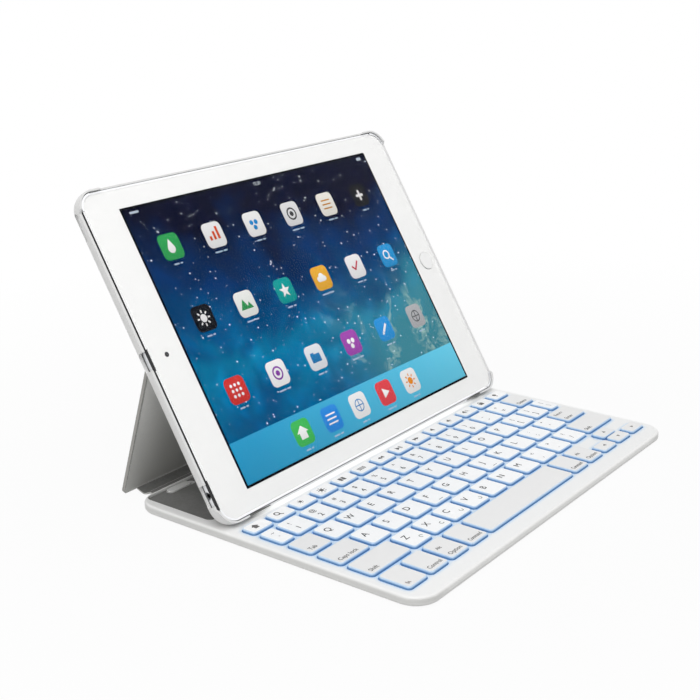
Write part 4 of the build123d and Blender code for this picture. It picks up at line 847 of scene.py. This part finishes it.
# --------------------------------------------------
# Screen: a white printed border and a lit panel behind one sheet of clear glass. The panel shows a
# plain night sky over water, a grid of small coloured signs, and a pale band with more of them.
BORDER_WHITE = "#ececeb"
SKY_TOP = "#090d2a"
SKY_MIDDLE = "#043873"
SKY_LOW = "#005e98"
SKY_GLOW = "#008abd"
SKY_TEAL = "#4a9aa3"
SKY_VEIL = "#bcdccd"
BAND_LEFT = "#2a9fd0"
BAND_RIGHT = "#6bd2f0"
SCREEN_LIGHT = 1.0
ICON = 13.7 * MM
ICON_CORNER = 3.0 * MM
BAND_HEIGHT = 23.0 * MM
LEVEL = 0.02 * MM
EDGE_LINE = 1.3 * MM
LABEL_PAINT = "#a9c4de"
LABEL_DROP, LABEL_GAP, LABEL_TALL = 2.4 * MM, 0.7 * MM, 0.85 * MM
GRID_TOP = 8 * MM
BAND_GAP = 24 * MM
STATUS_DROP, STATUS_TALL = 3.2 * MM, 1.9 * MM
STATUS_PAINT = "#c9d4e4"
HAZE, HAZE_LIFT, HAZE_MIDDLE = 70 * MM, 0.11, 0.055
WISP = 22 * MM
VEIN, VEIN_WIDTH = 45 * MM, 0.036
WATER_TOP, WATER_FULL, WATER_MOST = 0.075, 0.02, 0.72
SHORE_START, SHORE_END = -0.02, 0.06
RIPPLE = 40 * MM

screen_low, screen_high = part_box("tablet_display")
screen_middle = (screen_low + screen_high) / 2
corners = [v.co - screen_middle for v in frame["nodes"]["tablet_display"].data.vertices]
half_width = max(c.dot(across) for c in corners)
half_height = max(c.dot(upward) for c in corners)
front = max(c.dot(face_normal) for c in corners)


def on_screen(x, y, level):
    """A point of the panel's face: x from its middle, y up it, level in front of it."""
    return screen_middle + across * x + upward * y + face_normal * (front + level)


dress(moulded("white_ink_behind_glass", BORDER_WHITE, "#ebebea", 0.5), "tablet_border")

sky, tree, shader, place = new_finish("lit_panel_night_sky", Roughness=0.4, IOR=1.5, Specular_IOR_Level=0.0,
                                      Emission_Strength=SCREEN_LIGHT, Base_Color=paint("#020305"))
centred = add(tree, "ShaderNodeVectorMath", {0: place, 1: screen_middle}, operation="SUBTRACT")
height = add(tree, "ShaderNodeVectorMath", {0: centred, 1: upward}, operation="DOT_PRODUCT")
side = add(tree, "ShaderNodeVectorMath", {0: centred, 1: across}, operation="DOT_PRODUCT")
haze = add(tree, "ShaderNodeTexNoise", {"Vector": place, "Scale": 1 / HAZE, "Detail": 6.0, "Roughness": 0.6,
                                        "Distortion": 0.8})
hazed = add(tree, "ShaderNodeMath", {0: haze, 1: HAZE_LIFT, 2: height.outputs["Value"]},
            operation="MULTIPLY_ADD")
level = add(tree, "ShaderNodeMapRange", {"Value": hazed, "From Min": HAZE_MIDDLE - half_height,
                                         "From Max": HAZE_MIDDLE + half_height})
depth_of_sky = add(tree, "ShaderNodeValToRGB", {"Fac": level},
                   [(0.12, SKY_LOW), (0.4, SKY_GLOW), (0.5, SKY_LOW), (0.68, SKY_MIDDLE), (0.9, SKY_TOP)])
wisps = add(tree, "ShaderNodeTexNoise", {"Vector": place, "Scale": 1 / WISP, "Detail": 8.0, "Roughness": 0.65,
                                         "Distortion": 1.4})
thin = add(tree, "ShaderNodeMapRange", {"Value": wisps, "From Min": 0.45, "From Max": 0.8,
                                        "To Min": 0.75, "To Max": 1.5})
bright = add(tree, "ShaderNodeVectorMath", {0: depth_of_sky, "Scale": thin}, operation="SCALE")
ridge = add(tree, "ShaderNodeTexNoise", {"Vector": place, "Scale": 1 / VEIN, "Detail": 6.0,
                                         "Roughness": 0.62, "Distortion": 0.6})
vein = add(tree, "ShaderNodeMath", {0: ridge, 1: 0.5}, operation="SUBTRACT")
vein = add(tree, "ShaderNodeMath", {0: vein}, operation="ABSOLUTE")
thread = add(tree, "ShaderNodeMapRange", {"Value": vein, "From Max": VEIN_WIDTH, "To Min": 1.0,
                                          "To Max": 0.0}, interpolation_type="SMOOTHSTEP")
low = add(tree, "ShaderNodeMapRange", {"Value": hazed, "From Min": WATER_TOP, "From Max": WATER_FULL},
          interpolation_type="SMOOTHSTEP")
right = add(tree, "ShaderNodeMapRange", {"Value": side.outputs["Value"], "From Min": SHORE_START,
                                         "From Max": SHORE_END}, interpolation_type="SMOOTHSTEP")
veil = add(tree, "ShaderNodeMath", {0: low, 1: right}, operation="MULTIPLY")
grain = add(tree, "ShaderNodeMapRange", {"Value": wisps, "From Min": 0.4, "From Max": 0.62,
                                         "To Min": 0.1, "To Max": 0.8})
faint = add(tree, "ShaderNodeMath", {0: thread, 1: grain}, operation="MULTIPLY")
strand = add(tree, "ShaderNodeMath", {0: veil, 1: faint}, operation="MULTIPLY")
water = add(tree, "ShaderNodeMath", {0: veil, 1: WATER_MOST}, operation="MULTIPLY")
two_tone(shader, water, bright, SKY_TEAL, "Emission Color")
paint_over(shader, strand, SKY_VEIL, "Emission Color")
dress(sky, "tablet_display")

signs_finish, tree, shader, place = new_finish("lit_panel_signs", Roughness=0.4, IOR=1.5,
                                               Specular_IOR_Level=0.0, Emission_Strength=SCREEN_LIGHT,
                                               Base_Color=paint("#05070c"))
tint = add(tree, "ShaderNodeVertexColor", layer_name="ink")
ripple = add(tree, "ShaderNodeTexNoise", {"Vector": place, "Scale": 1 / RIPPLE, "Detail": 1.0})
even = add(tree, "ShaderNodeMapRange", {"Value": ripple, "To Min": 0.94, "To Max": 1.06})
toned = add(tree, "ShaderNodeVectorMath", {0: tint, "Scale": even}, operation="SCALE")
feed(shader, {"Emission Color": toned})

# The drawings of the signs, each about the origin and about one and a half units across.
star = []
for i in range(5):
    tip = math.radians(90 + 72 * i)
    star.append([(0, 0), around(0, 0, 0.3, tip - math.pi / 5), around(0, 0, 0.72, tip),
                 around(0, 0, 0.3, tip + math.pi / 5)])
cloud = (disc(-0.35, -0.08, 0.28) + disc(0.05, 0.14, 0.36) + disc(0.42, -0.08, 0.26)
         + bar(0.02, -0.2, 0.8, 0.3))
bars = sum([bar((i - 1) * 0.5, 0.2 * (i + 1) - 0.45, 0.3, 0.4 * (i + 1)) for i in range(3)], [])
lines = sum([bar(0, (i - 1) * 0.42, 1.3, 0.14) for i in range(3)], [])
hills = wedge((-0.8, -0.5), (0.3, -0.5), (-0.25, 0.5)) + wedge((0, -0.5), (0.8, -0.5), (0.4, 0.15))
tick = bar(-0.32, -0.12, 0.6, 0.2, -45) + bar(0.18, 0.08, 1.1, 0.2, 50)
lens = ring(-0.12, 0.12, 0.5, 0.34) + bar(0.42, -0.42, 0.6, 0.18, -45)
house = wedge((-0.75, 0), (0.75, 0), (0, 0.65)) + bar(0, -0.3, 0.9, 0.6)
dots = sum([disc((i - 1) * 0.48, (j - 1) * 0.48, 0.15, 12) for i in range(3) for j in range(3)], [])
folder = bar(0, -0.08, 1.3, 0.8, 0, 0.08) + bar(-0.35, 0.38, 0.5, 0.2)
globe = ring(0, 0, 0.62, 0.52) + bar(0, 0, 0.1, 1.1) + bar(0, 0, 1.1, 0.1)
pen = bar(0.08, 0.08, 1.0, 0.26, 45) + arrow_head(-0.4, -0.4, 0.22, 225)
drop = disc(0, -0.18, 0.42) + wedge((-0.38, 0), (0.38, 0), (0, 0.72))
plus = bar(0, 0, 1.1, 0.26) + bar(0, 0, 0.26, 1.1)
play = arrow_head(0, 0, 0.6, 0)
sunny = drawn(sun, 0, 0, 0.75)
target = ring(0, 0, 0.65, 0.48) + disc(0, 0, 0.26)
petals = sum([disc(*around(0, 0, 0.34, math.tau * i / 3 + 0.5), 0.25, 14) for i in range(3)], [])

# Each sign is its plate's colour, its ink and its drawing.
grid_signs = [
    [("#36a95a", "#ffffff", drop), ("#f4f4f4", "#e2572f", bars), ("#f6f6f6", "#2b8fd6", petals),
     ("#e9e9ea", "#4a4a4c", target), ("#f3efe6", "#c98a2c", lines), ("#1f1f22", "#f4f4f4", plus)],
    [("#16181c", "#f2f2f2", sunny), ("#f2f4f0", "#3b9e5b", hills), ("#12a3a0", "#ffffff", star),
     ("#f5b73a", "#ffffff", cloud), ("#f7f7f7", "#d1485a", tick), ("#2c9de0", "#ffffff", lens)],
    [("#d93a34", "#ffffff", dots), ("#fafafa", "#8e44ad", target), ("#e9edf2", "#2a7fbd", folder),
     ("#a94fb8", "#ffffff", petals), ("#2f9be6", "#ffffff", pen), ("#b9babd", "#55565a", globe)],
]
band_signs = [("#47c25e", "#ffffff", house), ("#2f8fe8", "#ffffff", lines), ("#f4f4f4", "#2f86c9", globe),
              ("#e8484f", "#ffffff", play), ("#f2f2f2", "#f0932b", sunny)]

screen_layers = []


def lay(outlines, colour, levels):
    """Lays a drawing on the panel, so many levels above it."""
    screen_layers.append((outlines, colour, levels * LEVEL))


def sign_plate(x, y, colour, ink, glyph, label):
    """One sign: a rounded plate, its drawing, and two short bars where a name would stand."""
    lay(bar(x, y, ICON, ICON, 0, ICON_CORNER), colour, 2)
    lay(drawn(glyph, x, y, ICON * 0.42), ink, 3)
    first, under = label * 0.6, y - ICON * 0.5 - LABEL_DROP
    for aside, wide in ((-(label - first) / 2, first), ((first + LABEL_GAP) / 2, label - first - LABEL_GAP)):
        lay(bar(x + aside, under, wide, LABEL_TALL, 0, LABEL_TALL / 2), LABEL_PAINT, 2)


band_top = -half_height + BAND_HEIGHT
band_steps = 24
band_step = 2 * half_width / band_steps
band_ends = [[int(code[i:i + 2], 16) for i in (1, 3, 5)] for code in (BAND_LEFT, BAND_RIGHT)]
for step in range(band_steps):
    share = step / (band_steps - 1)
    tone = "#" + "".join(f"{round(a + (b - a) * share):02x}" for a, b in zip(*band_ends))
    step_x = -half_width + (step + 0.5) * band_step
    lay(bar(step_x, band_top - BAND_HEIGHT / 2, band_step, BAND_HEIGHT), tone, 1)
columns = len(grid_signs[0])
column = 2 * half_width / (columns + 0.35)
row_gap = (2 * half_height - BAND_HEIGHT - GRID_TOP) / len(grid_signs)
for j, row in enumerate(grid_signs):
    for i, (colour, ink, glyph) in enumerate(row):
        sign_plate((i - (columns - 1) / 2) * column, half_height - GRID_TOP - (j + 0.42) * row_gap, colour,
                   ink, glyph, (6 + (3 * i + 5 * j) % 5) * MM)
for i, (colour, ink, glyph) in enumerate(band_signs):
    sign_plate((i - (len(band_signs) - 1) / 2) * BAND_GAP, band_top - BAND_HEIGHT * 0.44, colour, ink, glyph,
               (6 + (2 * i) % 4) * MM)
edge_x, edge_y = half_width - EDGE_LINE / 2, half_height - EDGE_LINE / 2
for x, y, wide, tall in ((-edge_x, 0, EDGE_LINE, 2 * half_height), (edge_x, 0, EDGE_LINE, 2 * half_height),
                         (0, -edge_y, 2 * half_width, EDGE_LINE), (0, edge_y, 2 * half_width, EDGE_LINE)):
    lay(bar(x, y, wide, tall), "#07080b", 4)
status_y = half_height - STATUS_DROP
lay(lettering("12:30", 0, status_y, STATUS_TALL), "#d9e2ee", 1)
lay(bar(-half_width + 8 * MM, status_y, 6 * MM, 1.2 * MM, 0, 0.5 * MM), STATUS_PAINT, 1)
lay(bar(half_width - 7 * MM, status_y, 4 * MM, 1.8 * MM, 0, 0.4 * MM), STATUS_PAINT, 1)
signs = printed("screen_signs", screen_layers, on_screen, signs_finish, shading=0.12)
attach(signs, "tablet")

# --------------------------------------------------
# Stars on the panel: points of light scattered over the sky, few of them large.
STAR_COUNT = 760
STAR_SIZE = 0.31 * MM
STAR_MARGIN = 1 * MM
TWINKLE = 4 * MM


def one_face(name, points):
    """A flat mesh of one face."""
    mesh = bpy.data.meshes.new(name)
    mesh.from_pydata(points, [], [tuple(range(len(points)))])
    return mesh


star_light, tree, shader, place = new_finish("lit_panel_stars", Roughness=0.5, Specular_IOR_Level=0.0,
                                             Emission_Strength=SCREEN_LIGHT)
twinkle = add(tree, "ShaderNodeTexNoise", {"Vector": place, "Scale": 1 / TWINKLE, "Detail": 1.0})
two_tone(shader, twinkle, "#3f7db8", "#cfe4f7", "Emission Color")

corner_signs = [(-1, -1), (1, -1), (1, 1), (-1, 1)]
star_rows = {-1: band_top + STAR_MARGIN, 1: half_height - STAR_MARGIN}
sky_patch = one_face("stars", [on_screen(sx * (half_width - STAR_MARGIN), star_rows[sy], LEVEL)
                               for sx, sy in corner_signs])
stars = put("screen_stars", sky_patch)

scatter = bpy.data.node_groups.new("scattered_stars", "GeometryNodeTree")
scatter.interface.new_socket("Sky", in_out="INPUT", socket_type="NodeSocketGeometry")
scatter.interface.new_socket("Stars", in_out="OUTPUT", socket_type="NodeSocketGeometry")
count_input, size_input = [scatter.interface.new_socket(label, in_out="INPUT", socket_type="NodeSocketFloat")
                           for label in ("Stars per square metre", "Star radius")]
entry = add(scatter, "NodeGroupInput")
spread = add(scatter, "GeometryNodeDistributePointsOnFaces",
             {"Mesh": entry.outputs["Sky"], "Density": entry.outputs["Stars per square metre"], "Seed": 11})
star_disc = add(scatter, "GeometryNodeMeshCircle", {"Vertices": 6, "Radius": entry.outputs["Star radius"]},
                fill_type="NGON")
sizes = add(scatter, "FunctionNodeRandomValue", {2: 0.25, 3: 1.0, "Seed": 5}, data_type="FLOAT")
squared = add(scatter, "ShaderNodeMath", {0: sizes.outputs[1], 1: 3.0}, operation="POWER")
grown = add(scatter, "ShaderNodeMath", {0: squared, 1: 0.35}, operation="ADD")
placed = add(scatter, "GeometryNodeInstanceOnPoints",
             {"Points": spread.outputs["Points"], "Instance": star_disc,
              "Rotation": spread.outputs["Rotation"], "Scale": grown})
real = add(scatter, "GeometryNodeRealizeInstances", {"Geometry": placed})
painted = add(scatter, "GeometryNodeSetMaterial", {"Geometry": real, "Material": star_light})
add(scatter, "NodeGroupOutput", {"Stars": painted})
scattering = stars.modifiers.new("scatter", "NODES")
scattering.node_group = scatter
patch_area = 4 * half_width * half_height
scattering[count_input.identifier] = STAR_COUNT / patch_area
scattering[size_input.identifier] = STAR_SIZE
bpy.context.view_layer.update()
stars_mesh = plain_mesh(stars)
stars.modifiers.clear()
stars.data = stars_mesh
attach(stars, "tablet")

# --------------------------------------------------
# Cover glass: one sheet of clear toughened glass, its edge ground round, with a hole for the button.
# An anti-reflection film on its back keeps the white of the room off the panel.
GLASS_IOR = 1.08
GLASS_ROOM = 0.1 * MM
SMEAR = 30 * MM

glass_node = frame["nodes"]["tablet_glass"]
glass_depth = [v.co.dot(face_normal) for v in glass_node.data.vertices]
glass_back = min(glass_depth)
glass_mesh = glass_node.data.copy()
bm = bmesh.new()
bm.from_mesh(glass_mesh)
bmesh.ops.remove_doubles(bm, verts=bm.verts, dist=0.001 * MM)
for vertex in bm.verts:
    if vertex.co.dot(face_normal) < glass_back + GLASS_ROOM:
        vertex.co += face_normal * (glass_back + GLASS_ROOM - vertex.co.dot(face_normal))
bmesh.ops.recalc_face_normals(bm, faces=bm.faces)
bm.to_mesh(glass_mesh)
bm.free()
glass = put("cover_glass", glass_mesh)
for polygon in glass_mesh.polygons:
    polygon.use_smooth = False

clear, tree, shader, place = new_finish("toughened_glass_polished", Roughness=0.0, IOR=GLASS_IOR,
                                        Transmission_Weight=1.0)
smear = add(tree, "ShaderNodeTexNoise", {"Vector": place, "Scale": 1 / SMEAR, "Detail": 2.0})
feed(shader, {"Roughness": add(tree, "ShaderNodeMapRange", {"Value": smear, "To Min": 0.0, "To Max": 0.02})})
through = add(tree, "ShaderNodeBsdfTransparent")
path = add(tree, "ShaderNodeLightPath")
either = add(tree, "ShaderNodeMixShader", {0: path.outputs["Is Shadow Ray"], 1: shader, 2: through})
feed(tree.nodes["Material Output"], {"Surface": either})
glass_mesh.materials.clear()
glass_mesh.materials.append(clear)
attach(glass, "tablet")
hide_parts("tablet_glass")

# --------------------------------------------------
# Studio: a wide white floor that keeps the case's soft shadow, a large soft box high on the left, a
# small one low on the left, a weaker one from the right, and an even white room.
FLOOR_HALF = 6.0
FLOOR_GREY = "#dadada"
FLOOR_NEAR = 0.94
FLOOR_FADE = (0.16, 0.50)
ROOM_LIGHT = 0.43
KEY_POWER = 9.7
FILL_POWER = 2.2
SIDE_POWER = 0.6
CAMERA_PLACE = Vector((-0.5115, -0.3460, 0.2705))
CAMERA_AZIMUTH = 52.87
CAMERA_ELEVATION = 17.8
CAMERA_ROLL = -0.53
CAMERA_LENS = 65.57
CAMERA_SHIFT = (-0.0043, -0.0141)


def seen_plain(tree):
    """1 for the rays that see the room as it is: from the camera, in gloss and through glass."""
    path = add(tree, "ShaderNodeLightPath")
    seen = add(tree, "ShaderNodeMath", {0: path.outputs["Is Camera Ray"], 1: path.outputs["Is Glossy Ray"]},
               operation="MAXIMUM")
    return add(tree, "ShaderNodeMath", {0: seen, 1: path.outputs["Is Transmission Ray"]}, operation="MAXIMUM")


floor_mesh = one_face("floor", [(sx * FLOOR_HALF, sy * FLOOR_HALF, 0) for sx, sy in corner_signs])
floor = put("floor", floor_mesh)
floor_finish, tree, shader, place = new_finish("white_paper_sweep", Roughness=0.9, Specular_IOR_Level=0.1,
                                               Base_Color=paint(FLOOR_GREY))
white = add(tree, "ShaderNodeEmission", {"Color": (1, 1, 1, 1), "Strength": 1.0})
away = add(tree, "ShaderNodeVectorMath", {0: place}, operation="LENGTH")
fade = add(tree, "ShaderNodeMapRange", {"Value": away.outputs["Value"], "From Min": FLOOR_FADE[0],
                                        "From Max": FLOOR_FADE[1], "To Min": FLOOR_NEAR, "To Max": 1.0})
share = add(tree, "ShaderNodeMath", {0: seen_plain(tree), 1: fade}, operation="MULTIPLY")
either = add(tree, "ShaderNodeMixShader", {0: share, 1: shader, 2: white})
feed(tree.nodes["Material Output"], {"Surface": either})
floor_mesh.materials.append(floor_finish)


def soft_box(name, place, aim, size, power):
    """A square area lamp at a place, turned to its aim."""
    lamp = bpy.data.lights.new(name, "AREA")
    lamp.shape = "SQUARE"
    lamp.size = size
    lamp.energy = power
    stand = put(name, lamp)
    stand.location = place
    stand.rotation_euler = (Vector(aim) - Vector(place)).to_track_quat("-Z", "Y").to_euler()


soft_box("key_lamp", (-0.5, -0.25, 1.2), (0, 0, 0.05), 1.2, KEY_POWER)
soft_box("side_lamp", (-0.85, -0.12, 0.22), (0, 0.05, 0.05), 0.35, SIDE_POWER)
soft_box("fill_lamp", (0.9, -0.7, 0.8), (0, 0, 0.05), 1.0, FILL_POWER)

room = bpy.data.worlds.new("white_room")
room.use_nodes = True
tree = room.node_tree
tree.nodes.clear()
strength = add(tree, "ShaderNodeMapRange", {"Value": seen_plain(tree), "To Min": ROOM_LIGHT, "To Max": 1.0})
air = add(tree, "ShaderNodeBackground", {"Color": (1, 1, 1, 1), "Strength": strength})
add(tree, "ShaderNodeOutputWorld", {"Surface": air})
bpy.context.scene.world = room

camera = bpy.data.cameras.new("camera")
camera.lens = CAMERA_LENS
camera.sensor_width = 36.0
camera.shift_x, camera.shift_y = CAMERA_SHIFT
camera.clip_start, camera.clip_end = 0.01, 50.0
camera_object = put("camera", camera)
azimuth, elevation = math.radians(CAMERA_AZIMUTH), math.radians(CAMERA_ELEVATION)
forward = Vector((math.sin(azimuth) * math.cos(elevation), math.cos(azimuth) * math.cos(elevation),
                  -math.sin(elevation)))
camera_turn = (forward.to_track_quat("-Z", "Y").to_matrix()
               @ Matrix.Rotation(math.radians(CAMERA_ROLL), 3, "Z"))
camera_object.matrix_world = Matrix.Translation(CAMERA_PLACE) @ camera_turn.to_4x4()
bpy.context.scene.camera = camera_object
bpy.context.scene.view_settings.view_transform = "Standard"

bpy.context.view_layer.update()
